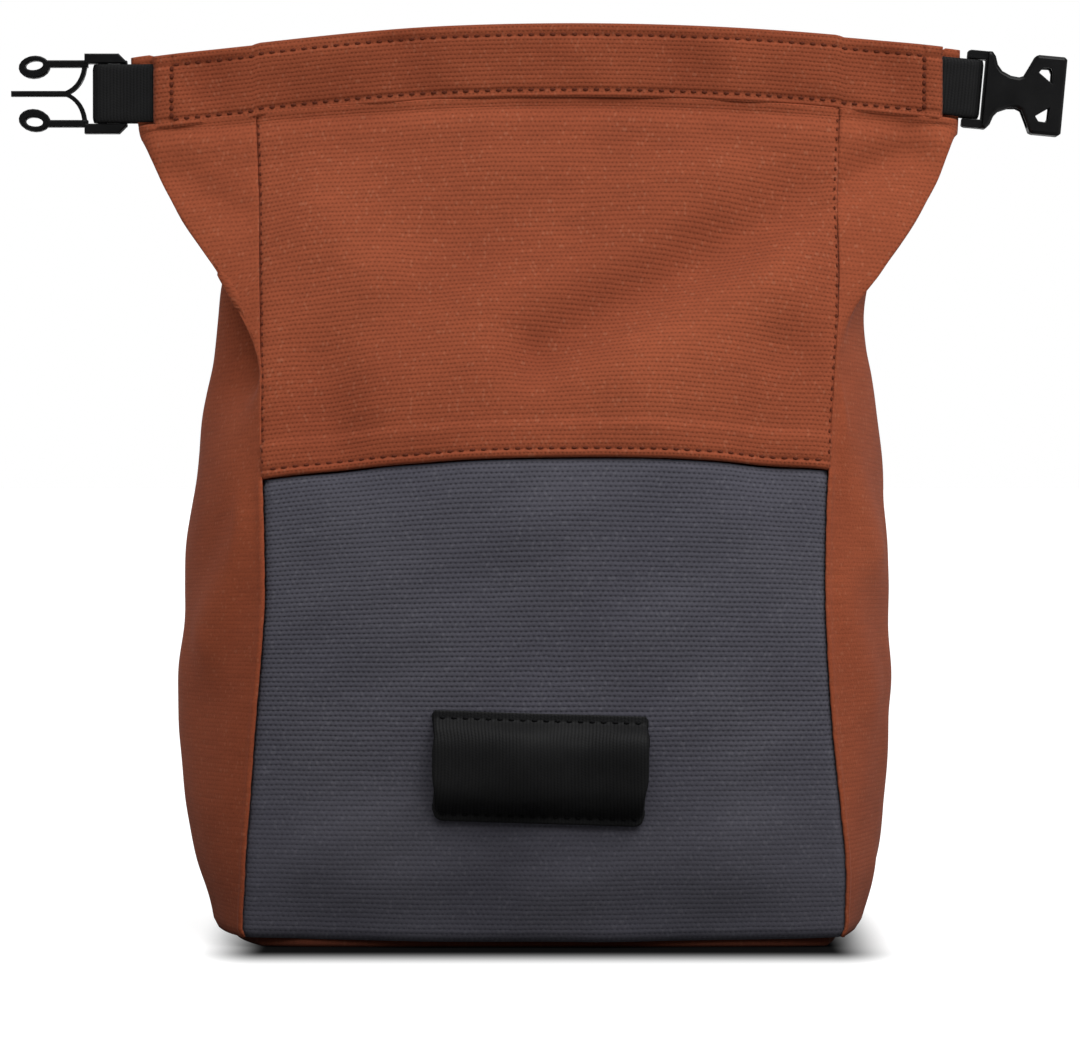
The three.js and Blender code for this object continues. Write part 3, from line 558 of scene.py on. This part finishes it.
# %% A wall of cloth
class Wall:
    """A grid of points on a piece's outer face. Columns run to the right and rows up, seen from outside."""

    def __init__(self, columns, rows, surface):
        self.columns, self.rows = np.asarray(columns, float), np.asarray(rows, float)
        self.across, self.up = np.meshgrid(self.columns, self.rows)
        self.points = surface(self.across, self.up)
        self.wear_and_shade = np.zeros(self.points.shape[:2])
        self.crisp = np.ones(self.points.shape[:2])
        self.measure()

    def measure(self):
        """Finds the length along each row, and the normals."""
        gaps = np.linalg.norm(np.diff(self.points, axis=1), axis=2)
        self.along = np.pad(np.cumsum(gaps, axis=1), ((0, 0), (1, 0)))
        self.edge = np.minimum(self.along, self.along[:, -1:] - self.along)
        normal = np.cross(np.gradient(self.points, axis=1), np.gradient(self.points, axis=0))
        self.normals = normal / np.maximum(np.linalg.norm(normal, axis=2, keepdims=True), 1e-12)

    def lift(self, height):
        """Moves the points out along their normals."""
        self.points = self.points + self.normals * np.asarray(height)[..., None]
        self.measure()

    def soften(self, radius):
        """Rounds creases along each row by this radius, and leaves the row's ends in place."""
        spacing = 0.0003
        reach = round(3 * radius / spacing)
        bell = np.exp(-0.5 * (np.arange(-reach, reach + 1) * spacing / radius) ** 2)
        for row, run in zip(self.points, self.along):
            even = np.linspace(0, run[-1], round(run[-1] / spacing))
            for line in row.T:
                fine = np.interp(even, run, line)
                start = 2 * fine[0] - fine[reach:0:-1]
                end = 2 * fine[-1] - fine[-2:-reach - 2:-1]
                rounded = np.convolve(np.concatenate([start, fine, end]), bell / bell.sum(), "valid")
                line[:] = np.interp(run, even, rounded)
        self.measure()

    def at(self, column, row):
        """Points and normals anywhere on the wall, between those of the grid."""
        i = np.clip(np.searchsorted(self.columns, column) - 1, 0, len(self.columns) - 2)
        j = np.clip(np.searchsorted(self.rows, row) - 1, 0, len(self.rows) - 2)
        s = ((column - self.columns[i]) / (self.columns[i + 1] - self.columns[i]))[:, None]
        t = ((row - self.rows[j]) / (self.rows[j + 1] - self.rows[j]))[:, None]
        return tuple(
            (grid[j, i] * (1 - s) + grid[j, i + 1] * s) * (1 - t)
            + (grid[j + 1, i] * (1 - s) + grid[j + 1, i + 1] * s) * t
            for grid in (self.points, self.normals)
        )


def ticks(start, end, spacing, lines=()):
    """Even marks from start to end, with closer ones at each line that needs a sharp shape."""
    marks = set(np.linspace(start, end, max(2, round((end - start) / spacing) + 1)))
    for line in lines:
        marks |= {line + offset for offset in (-0.0012, -0.0007, -0.0003, 0, 0.0003, 0.0007, 0.0012)}
    kept = [start]
    for mark in sorted(m for m in marks if start < m < end):
        if mark - kept[-1] > 0.00012:
            kept.append(mark)
    return np.array(kept + [end])


def build(name, node, wall, material, thickness, heights=None):
    """The finished piece: a grid moved to the wall's points, with its UV map, thickness and finish."""
    rows, count = wall.points.shape[:2]
    bm = bmesh.new()
    bmesh.ops.create_grid(bm, x_segments=count - 1, y_segments=rows - 1, size=1)
    mesh = made_mesh(name, bm)
    flat = np.zeros(3 * len(mesh.vertices))
    mesh.vertices.foreach_get("co", flat)
    flat = (flat.reshape(-1, 3) + 1) / 2
    i, j = np.rint(flat[:, 0] * (count - 1)).astype(int), np.rint(flat[:, 1] * (rows - 1)).astype(int)
    mesh.vertices.foreach_set("co", wall.points[j, i].ravel())
    corners = np.zeros(len(mesh.loops), int)
    mesh.loops.foreach_get("vertex_index", corners)
    half_way = wall.along[:, [count // 2]]
    v = wall.up if heights is None else heights
    uv = np.stack([wall.along - half_way, v], -1)
    mesh.uv_layers.new(name="cloth").data.foreach_set("uv", uv[j, i][corners].ravel())
    for label, values in (("wear_and_shade", wall.wear_and_shade), ("crisp", wall.crisp)):
        mesh.attributes.new(label, "FLOAT", "POINT").data.foreach_set("value", values[j, i])
    mesh.shade_smooth()
    mesh.materials.append(material)
    piece = in_scene(name, mesh)
    wall_thickness = piece.modifiers.new("thickness", "SOLIDIFY")
    wall_thickness.thickness = thickness
    wall_thickness.offset = -1
    belongs(piece, node)
    print(f"{name}: {rows} rows of {count}, {len(mesh.polygons)} faces")
    return piece


# %% [markdown]
# ## Front, back and hem
#
# The front is two panels. The rust one ends in a hem that is turned under and topstitched, and lies
# over the slate one, so it stands proud and leaves a dark line. At each side seam the cloth dips
# into a groove and puckers slightly between the stitches. Just below the mouth the wall swells out
# to meet the doubled cloth of the collar.

# %% Seams, hem and swelling
collar_top_stitch, collar_low_stitch = 0.0031, 0.0209  # below the rim
collar_low_edge = 0.0234
collar_reach, collar_end_stitch = 0.1295, 0.1228
hem_stitch = 0.0029  # above the seam
collar_face_out = 0.0015


def on_webbing(x):
    """How far the collar rises on to the webbing that is sewn in at its ends."""
    return 0.0003 + 0.0016 * np.clip((np.abs(x) - (collar_reach - 0.021)) / 0.012, 0, 1)


def swell(x, rise):
    """How far the wall under the collar comes out to meet it."""
    below = (1 - rise) * bag_height
    near = step(-below, -0.040, -0.0250) * step(below, collar_low_edge - 0.0016, collar_low_edge - 0.0004)
    return (on_webbing(x) + collar_face_out) * near


def above_seam(z):
    """0 beside the slate panel and 1 beside the rust one."""
    return step(z, seam_height - 0.002, seam_height + 0.002)


def seam_groove(edge, rise):
    """The dip of a panel into its side seams, deeper where the lower panel goes under the gusset."""
    depth = 0.0015 - 0.0010 * above_seam(rise * bag_height)
    return -depth * nearness(edge, 0.0015)


def puckers(edge, along_seam, seed):
    """Small ripples that the stitches pull into the cloth beside a seam."""
    rng = np.random.default_rng(seed)
    turn = rng.uniform(0, 2 * math.pi, 3)
    ripple = (
        np.sin(2 * math.pi * along_seam / 0.0052 + turn[0])
        + 0.7 * np.sin(2 * math.pi * along_seam / 0.0083 + turn[1])
        + 0.7 * np.sin(2 * math.pi * along_seam / 0.0131 + turn[2])
    )
    return 0.00007 * ripple * np.exp(-edge / 0.0045)


wall_bottom, wall_top = 0.0019, bag_height - 0.0012


def turned_in(wall):
    """How the foot of a wall turns in under the bag."""
    return -0.0012 * nearness(wall.up - wall_bottom, 0.0016)


def panel_wall(bottom, top, facing, lines):
    """A front or back panel with its folds, between two heights."""
    wall = Wall(
        ticks(-1, 1, 0.0118),
        ticks(bottom, top, 0.0012, lines),
        lambda across, z: panel_face(z / bag_height, -facing * across, facing),
    )
    rise = wall.up / bag_height
    x = wall.points[..., 0]
    fold = folds("front", wall.across, rise) if facing < 0 else 0
    uneven = unevenness(x, wall.up, 3 - facing) * step(wall.edge, 0, 0.02) * step(0.93 - rise, 0, 0.08)
    # Fold hollows are painted darker, a painted shade, and ridges paler, as rubbed wear.
    wall.wear_and_shade = (fold + uneven) / fold_depth * 0.22
    seam = seam_groove(wall.edge, rise) + puckers(wall.edge, wall.up, 7)
    wall.lift(fold + uneven + swell(x, rise) + seam)
    return wall


collar_line = bag_height - collar_low_edge
front_upper = panel_wall(seam_height, wall_top, -1, (seam_height + hem_stitch, collar_line))
above = front_upper.up - seam_height
hem = 0.0009 * (1 - step(above, 0.010, 0.0125)) - 0.0007 * nearness(above, 0.0004)
hem_dip = -0.0004 * nearness(above - hem_stitch, 0.0006)
front_upper.lift(hem + hem_dip)
build("front_upper", "front_upper_panel", front_upper, rust, cloth_thickness)

front_lower = panel_wall(wall_bottom, seam_height - 0.0002, -1, (seam_height - 0.001,))
below = seam_height - front_lower.up
tuck = -0.0009 * (1 - step(below, 0.0004, 0.003))
front_lower.lift(tuck + turned_in(front_lower))
front_lower.crisp = 0.5 + 0.5 * step(front_lower.up, 0.03, 0.08)
build("front_lower", "front_lower_panel", front_lower, slate, cloth_thickness)

back = panel_wall(wall_bottom, wall_top, 1, (collar_line,))
back.lift(turned_in(back))
build("back", "back_panel", back, rust, cloth_thickness)

# %% [markdown]
# ## Gussets
#
# Each gusset is one piece of cloth, pressed into two folded edges where the flat mouth draws it out.
# The grid keeps a column on each folded edge, and a little softening rounds the creases to
# the radius that thick canvas takes. Its edge rolls over beside the seam, and the panel dips under it.

# %% Gussets
def gusset_wall(side):
    """A gusset with its folds. Its columns run from -1 to 1, and two of them are always folded edges."""
    fold_column = 0.7
    to_fold = np.linspace(-1, -fold_column, 34)
    between_folds = np.linspace(-fold_column, fold_column, 85)[1:-1]

    def surface(column, z):
        rise = z / bag_height
        fold = between("fold", rise)
        inner = np.minimum(np.abs(column) / fold_column, 1) * fold
        outer = np.maximum((np.abs(column) - fold_column) / (1 - fold_column), 0) * (1 - fold)
        return gusset_face(rise, np.sign(column) * side * (inner + outer), side)

    wall = Wall(
        np.concatenate([to_fold, between_folds, np.linspace(fold_column, 1, 34)]),
        ticks(wall_bottom, wall_top, 0.0013, (collar_line,)),
        surface,
    )
    rise = wall.up / bag_height
    fold = folds("left" if side < 0 else "right", wall.across * side, rise)
    wall.soften(0.0018)
    x, y = wall.points[..., 0], wall.points[..., 1]
    uneven = unevenness(y, wall.up, 11 + side) * step(wall.edge, 0, 0.02) * step(0.9 - rise, 0, 0.12)
    # Fold hollows are painted darker, a painted shade, and ridges paler, as rubbed wear.
    wall.wear_and_shade = (fold + uneven) / fold_depth * 0.22
    on_face = step(np.abs(wall.across), 0.68, 0.74)
    beside_slate = 1 - 0.8 * above_seam(wall.up)
    rolled = 0.0004 * (nearness(wall.edge - 0.0012, 0.001) - nearness(wall.edge, 0.0004))
    wall.lift(
        fold + uneven + (swell(x, rise) + ear_dents(wall.points)) * on_face + rolled * beside_slate
        + puckers(wall.edge, wall.up, 20 + side) + turned_in(wall)
    )
    wall.soften(0.0004)
    if side > 0:
        sharp = wall.points.copy()
        wall.soften(0.005)
        low = 1 - step(wall.up, 0.200, 0.222)
        near_front = step(-wall.across, 0.2, 0.5) * step(wall.edge, 0, 0.012)
        wall.points = sharp + (wall.points - sharp) * (low * near_front)[..., None]
        wall.measure()
    beyond = step(np.abs(wall.points[..., 0]), collar_reach - 0.002, collar_reach + 0.0005)
    wall.points[..., 2] += 0.0016 * beyond * step(wall.up, 0.284, wall_top)
    wall.measure()
    wall.crisp = 0.30 + 0.45 * step(wall.up, 0.17, 0.225)
    return wall


gussets = {side: gusset_wall(side) for side in (-1, 1)}
build("gusset_left_cloth", "gusset_left", gussets[-1], rust, thin_cloth)
build("gusset_right_cloth", "gusset_right", gussets[1], rust, thin_cloth)

# %% [markdown]
# ## Base
#
# The base is a stiff panel that shows only as a dark rolled edge under the front, set back a little
# from it. Its canvas is painted much darker than the rust, a painted shade for the shadow it lies in.
# A ring of vertices follows the walls' foot, a face fills it, an extrusion gives it height, and a
# bevel rolls its rim.

# %% Base
def base_panel():
    foot = wall_bottom / bag_height
    t = np.linspace(-1, 1, 61)[:-1]
    ring = np.concatenate([
        panel_face(foot, t, -1), gusset_face(foot, t, 1),
        panel_face(foot, -t, 1), gusset_face(foot, -t, -1),
    ])
    bm = bmesh.new()
    corners = bmesh.ops.create_circle(bm, segments=len(ring), radius=1)["verts"]
    corners.sort(key=lambda v: math.atan2(v.co.y, v.co.x))
    ring = ring[np.argsort(np.arctan2(ring[:, 1], ring[:, 0]))]
    for corner, point in zip(corners, ring):
        inset = 0.0040 + 0.003 * step(abs(point[0]), 0.08, 0.1)
        corner.co = Vector((point[0], point[1], 0)) * (1 - inset / math.hypot(point[0], point[1]))
    bmesh.ops.contextual_create(bm, geom=corners)
    raised = bmesh.ops.extrude_face_region(bm, geom=bm.faces[:])["geom"]
    raised = [part for part in raised if isinstance(part, bmesh.types.BMVert)]
    bmesh.ops.translate(bm, verts=raised, vec=(0, 0, 0.0036))
    rims = [e for e in bm.edges if abs(e.verts[0].co.z - e.verts[1].co.z) < 1e-6]
    bmesh.ops.bevel(bm, geom=rims, offset=0.0012, segments=4, profile=0.5, affect="EDGES", material=-1)
    bmesh.ops.recalc_face_normals(bm, faces=bm.faces)
    layer = bm.loops.layers.uv.new("cloth")
    for face in bm.faces:
        for loop in face.loops:
            loop[layer].uv = loop.vert.co.xy
    mesh = made_mesh("base", bm)
    mesh.materials.append(painted_shade_base_canvas)
    mesh.shade_smooth()
    return in_scene("base", mesh)


base = base_panel()
belongs(base, "base_panel")
print("base:", len(base.data.polygons), "faces")

# %% [markdown]
# ## Collar
#
# The mouth's edge is folded over and stitched twice. Its band lies flush with the swollen wall below
# it, dips at the lower row of stitches and rolls over the rim in a half round. The ends rise on to
# the webbing that is sewn in between. The rows of the grid are in metres below the rim, and above
# 0 they go round the roll.

# %% Collar
def collar_wall(facing):
    reach = collar_reach - 0.0006

    def surface(column, row):
        x = -facing * column
        below = np.clip(-row, 0, 1)
        rise = 1 - below / bag_height
        angle = np.clip(row, 0, 1) / 0.01 * math.pi
        out = wall_depth(rise, x) + on_webbing(x) + collar_face_out
        roll = np.minimum(0.0046, out - 0.0002) * (1 - np.cos(angle)) / 2
        z = level(rise, x) + 0.0007 * np.sin(angle) + 0.0006 * (1 - step(np.abs(x), 0.0945, 0.0965))
        z -= 0.0010 * step(-x, 0.03, 0.10)
        return np.stack([x, facing * (out - roll), z], -1)

    wall = Wall(
        ticks(-reach, reach, 0.0014, (-collar_end_stitch, collar_end_stitch)),
        np.concatenate([
            ticks(-collar_low_edge, 0, 0.0012, (-collar_low_stitch, -collar_top_stitch)),
            np.linspace(0, 0.01, 9)[1:],
        ]),
        surface,
    )
    x = wall.points[..., 0]
    band = wall.up <= 0
    dip = -0.00045 * nearness(wall.up + collar_top_stitch, 0.0007)
    low = -0.0005 * nearness(wall.up + collar_low_stitch, 0.0009)
    ends = -0.0004 * nearness(np.abs(x) - collar_end_stitch, 0.0007)
    rounded = -0.0009 * nearness(wall.edge, 0.0007) * step(-wall.up, 0, 0.002)
    uneven = unevenness(x, wall.up, 31 + facing, 0.0003)
    uneven = uneven * step(-wall.up, 0, 0.004) * step(wall.edge, 0, 0.01)
    # Hollows of the band's unevenness are painted darker, a painted shade, and its ridges paler, as rubbed
    # wear.
    wall.wear_and_shade = uneven / fold_depth
    wall.lift(np.where(band, dip + low + ends + uneven, 0) + rounded)
    return wall


collars = {facing: collar_wall(facing) for facing in (-1, 1)}
for facing, name in ((-1, "front"), (1, "back")):
    collar = collars[facing]
    build(f"collar_{name}_band", f"collar_{name}", collar, rust, thin_cloth,
          heights=bag_height + collar.up)

# %% [markdown]
# ## Webbing
#
# The tabs and the brush loop are woven nylon webbing, whose ribs are finer and rounder than the
# canvas's, with a close herringbone between them. It is almost black, and it shines a little along
# its threads.

# %% Webbing material
ribbing, given, result = group("webbing_ribs", {"Cloth": "Vector", "Pitch": "Float"}, ("Height", "Shade"))
on_web = add(ribbing, "SeparateXYZ", {0: given["Cloth"]}).outputs
turns = calc(ribbing, "DIVIDE", on_web[0], given["Pitch"])
cords = calc(ribbing, "ABSOLUTE", calc(ribbing, "SINE", calc(ribbing, "MULTIPLY", turns, math.pi)))
slant = calc(ribbing, "MULTIPLY", calc(ribbing, "PINGPONG", turns, 2.0), 0.5)
picks = calc(ribbing, "DIVIDE", on_web[1], calc(ribbing, "MULTIPLY", given["Pitch"], 0.8))
bars = calc(ribbing, "SINE", calc(ribbing, "MULTIPLY", calc(ribbing, "ADD", picks, slant), 2 * math.pi))
raised = calc(ribbing, "MULTIPLY_ADD", bars, 0.12, cords)
wear = noise(ribbing, given["Cloth"], 160.0, 3.0)
feed(ribbing, result["Height"], raised)
feed(ribbing, result["Shade"],
     calc(ribbing, "MULTIPLY_ADD", wear, 0.6, calc(ribbing, "MULTIPLY_ADD", raised, 0.35, 0.45)))


def webbing(name, pitch, colour):
    """Black woven webbing with ribs of this pitch."""
    material, tree, shader = new_material(name)
    cloth = add(tree, "UVMap", uv_map="cloth").outputs[0]
    threads = use(tree, ribbing, {"Cloth": cloth, "Pitch": pitch})
    shaded = add(tree, "VectorMath", {0: colour, "Scale": threads["Shade"]}, operation="SCALE")
    emboss(tree, shader, threads["Height"], 0.5, 0.0002)
    feed(tree, shader.inputs["Base Color"], shaded.outputs[0])
    feed(tree, shader.inputs["Roughness"], calc(tree, "MULTIPLY_ADD", threads["Height"], -0.12, 0.72))
    shader.inputs["Specular IOR Level"].default_value = 0.11
    return material


black_webbing = webbing("black_webbing", 0.0011, (0.0078, 0.0078, 0.0081))
print("webbing group:", len(ribbing.nodes), "nodes")

# %% [markdown]
# Each tab is a strap doubled round the bar of its buckle half, with both ends sewn into the collar.
# Its line is drawn once in plan and swept up the width of the webbing. The selvedges are a little
# thinner than the middle.

# %% Webbing tabs
def plan_line(bar_reach, slack):
    """The strap's outer face in plan, from its front end round the bar to its back end."""
    thickness = 0.0013
    end, collar_middle = collar_reach - 0.0087, 0.962
    near = wall_depth(collar_middle, end) + 0.0003 + thickness
    wrap = 0.0016 + slack + thickness
    tip = bar_reach - 2 * wrap
    turn = np.linspace(-math.pi / 2, math.pi / 2, 25)
    rounded = np.stack([bar_reach + wrap * np.cos(turn), wrap * np.sin(turn)], -1)
    flat = np.linspace(0, 1, 21)[:-1, None]
    front = np.array([end, -near]) * (1 - flat) + np.array([tip, -wrap]) * flat
    close = np.array([tip, -wrap]) * (1 - flat) + rounded[0] * flat
    half_line = np.concatenate([front, close])
    return np.concatenate([half_line, rounded, half_line[::-1] * (1, -1)])


def tab(name, node, side, bar, tilt, slack):
    """A webbing tab, loosely round the bar at this place and tilted down by some degrees."""
    line = plan_line(abs(bar[0]), slack)[::side] * (side, 1)
    width = 0.019

    def surface(column, row):
        place = line[column.astype(int)]
        return np.stack([place[..., 0], place[..., 1], row + bar[1]], -1)

    wall = Wall(np.arange(len(line)), ticks(-width / 2, width / 2, 0.0008), surface)
    selvedge = np.minimum(wall.up + width / 2, width / 2 - wall.up)
    wall.lift(-0.0004 * nearness(selvedge, 0.0008) + 0.00008 * np.sin(wall.along / 0.004))
    hang = Matrix.Rotation(math.radians(side * tilt), 3, "Y")
    bar_place = np.array([bar[0], 0, bar[1]])
    wall.points = (wall.points - bar_place) @ np.array(hang).T + bar_place
    wall.measure()
    return build(name, node, wall, black_webbing, 0.0012)


left_bar = (-0.1458, level(1, -0.1375) - 0.0112)
right_bar = (0.1382, level(1, 0.136) - 0.0121)
tab("tab_left", "webbing_left", -1, left_bar, 0, 0.0003)
tab("tab_right", "webbing_right", 1, right_bar, 5.3, 0.0009)
print("bars at", np.round(left_bar, 4), np.round(right_bar, 4))

# %% [markdown]
# The brush loop is a wide piece of webbing, sewn down along its top and bottom and bulged between
# them, so that the handle of a brush slides through from side to side.

# %% Brush loop
loop_width, loop_height, loop_middle, loop_shift = 0.068, 0.0347, 0.0573, -0.0025
loop_flange, loop_rise, loop_thickness = 0.0026, 0.0066, 0.0014


def loop_surface(column, row):
    corner = np.where(row < 0, 0.0035, 0.0012)
    past = np.clip(np.abs(column) - loop_width / 2 + corner, 0, corner)
    shorter = 1 - (corner - np.sqrt(corner**2 - past**2)) / (loop_height / 2)
    narrower = 1 - 0.035 * step(column, 0, 0.01) * step(-row, 0, loop_height / 2)
    x = loop_shift + column * narrower
    z = loop_middle + row * shorter - 0.03 * column
    t = np.abs(row) / (loop_height / 2 - loop_flange)
    lift = loop_rise * np.maximum(1 - t**4, 0)
    rise = z / bag_height
    across = (x - between("lean", rise) * 2 * half_panel) / (between("width", rise) * half_panel)
    cloth = front_lower.at(across.ravel(), z.ravel())[0]
    out = 0.0003 + loop_thickness + lift - cloth[:, 1].reshape(x.shape)
    return np.stack([x, -out, z], -1)


loop = Wall(
    ticks(-loop_width / 2, loop_width / 2, 0.0009),
    ticks(-loop_height / 2, loop_height / 2, 0.0006),
    loop_surface,
)
bulge = step(loop_height / 2 - np.abs(loop.up), loop_flange, 0.008)
loop.lift(
    unevenness(loop.across, loop.up, 5, 0.0006) * bulge
    - 0.0003 * nearness(loop.edge, 0.0008)
)
build("brush_loop_webbing", "brush_loop", loop, black_webbing, loop_thickness)

# %% [markdown]
# ## Stitches
#
# Every row of stitches is real thread. A stitch is a small rounded pill, laid along a path on its
# wall and half sunk in the groove that it pulls into the cloth. Hundreds of them are one mesh, so
# each pill has only a few faces.

# %% Stitches
def stitch_row(whole, wall, path, pitch=0.0035, length=0.0020, width=0.0006):
    """Lays stitches along a path of columns and rows on a wall. Returns how many there are."""
    bm = bmesh.new()
    path = np.asarray(path, float)
    part = np.linspace(0, 1, 600)
    legs = np.linspace(0, 1, len(path))
    points, normals = wall.at(np.interp(part, legs, path[:, 0]), np.interp(part, legs, path[:, 1]))
    run = np.concatenate([[0], np.cumsum(np.linalg.norm(np.diff(points, axis=0), axis=1))])
    count = int(run[-1] // pitch)

    def on_path(distance, values):
        return np.array([np.interp(distance, run, line) for line in values.T])

    for n in range(count):
        middle = (n + 0.5) * run[-1] / count
        along = Vector(on_path(middle + 0.0005, points) - on_path(middle - 0.0005, points)).normalized()
        up = Vector(on_path(middle, normals)).normalized()
        side = up.cross(along).normalized()
        turn = Matrix((along, side, up)).transposed().to_4x4()
        place = Matrix.Translation(Vector(on_path(middle, points)) + up * 0.00008)
        matrix = place @ turn @ Matrix.Diagonal((length / 2, width, width * 0.8, 1))
        bmesh.ops.create_uvsphere(bm, u_segments=6, v_segments=4, radius=1, matrix=matrix)
    row = made_mesh("row", bm)
    whole.from_mesh(row)
    bpy.data.meshes.remove(row)
    return count


def stitching(name, material, rows):
    """One mesh of all these rows of stitches."""
    bm = bmesh.new()
    count = sum(stitch_row(bm, *row) for row in rows)
    mesh = made_mesh(name, bm)
    mesh.shade_smooth()
    mesh.materials.append(material)
    belongs(in_scene(name, mesh))
    print(f"{name}: {count} stitches")


def level_row(wall, height, start, end):
    return wall, [(start, height), (end, height)]


seam_at = 0.992
collar_rows = []
for band in collars.values():
    for below in (collar_top_stitch, collar_low_stitch):
        collar_rows.append(level_row(band, -below, -0.123, 0.123))
    for end in (-collar_end_stitch, collar_end_stitch):
        path = [(end, -collar_top_stitch), (end, -collar_low_stitch)]
        collar_rows.append((band, path, 0.0025, 0.0020, 0.0008))
side_rows = [
    (wall, [(at, bottom), (at, collar_line - 0.002)], 0.0035, 0.0016, 0.0004)
    for wall, bottom in ((front_upper, seam_height + 0.004), (back, 0.006))
    for at in (-seam_at, seam_at)
]
hem_row = [level_row(front_upper, seam_height + hem_stitch, -0.975, 0.975)]
stitching("stitches_rust", rust_thread, collar_rows + side_rows + hem_row)
loop_rows = [level_row(loop, side * (loop_height / 2 - 0.0022), -0.0325, 0.0325) for side in (-1, 1)]
stitching("stitches_black", black_thread, loop_rows)

# %% [markdown]
# ## Buckle
#
# The buckle halves are moulded black plastic. Their solids already have the right form, so a merged
# copy of each is given the small round edge that a mould leaves, and the copy stands for the solid.

# %% Moulded plastic
grain, given, result = group("moulded_grain", {"Place": "Vector", "Scale": "Float"}, ("Height", "Wear"))
fine = noise(grain, given["Place"], given["Scale"], 3.0)
handled = noise(grain, given["Place"], 120.0, 4.0)
feed(grain, result["Height"], fine)
feed(grain, result["Wear"], handled)


def moulded(name, deep, pale):
    """Satin moulded plastic, duller where it was handled."""
    material, tree, shader = new_material(name)
    place = add(tree, "TexCoord").outputs["Object"]
    skin = use(tree, grain, {"Place": place, "Scale": 3200.0})
    emboss(tree, shader, skin["Height"], 0.18, 0.0001)
    feed(tree, shader.inputs["Base Color"], mix(tree, skin["Wear"], deep, pale))
    feed(tree, shader.inputs["Roughness"], calc(tree, "MULTIPLY_ADD", skin["Wear"], 0.16, 0.26))
    shader.inputs["Specular IOR Level"].default_value = 0.18
    return material


plastic = moulded("black_plastic", (0.0020, 0.0020, 0.0022, 1), (0.0036, 0.0036, 0.0039, 1))


def rounded_copy(name, node, radius):
    """A merged copy of a CAD node with rounded edges, which stands for it."""
    bm = bmesh.new()
    bm.from_mesh(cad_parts[node].data)
    bmesh.ops.remove_doubles(bm, verts=bm.verts, dist=1e-6)
    bmesh.ops.dissolve_limit(bm, angle_limit=math.radians(1), verts=bm.verts, edges=bm.edges)
    mesh = made_mesh(name, bm)
    mesh.materials.append(plastic)
    piece = in_scene(name, mesh)
    edges = piece.modifiers.new("edges", "BEVEL")
    edges.width = radius
    edges.segments = 2
    edges.limit_method = "ANGLE"
    edges.angle_limit = math.radians(35)
    mesh.shade_smooth()
    piece.modifiers.new("flats", "WEIGHTED_NORMAL").keep_sharp = True
    belongs(piece, node)
    print(f"{name}: {len(mesh.polygons)} faces before its edges are rounded")


rounded_copy("buckle_prongs", "buckle_male", 0.00035)
rounded_copy("buckle_socket", "buckle_female", 0.0009)
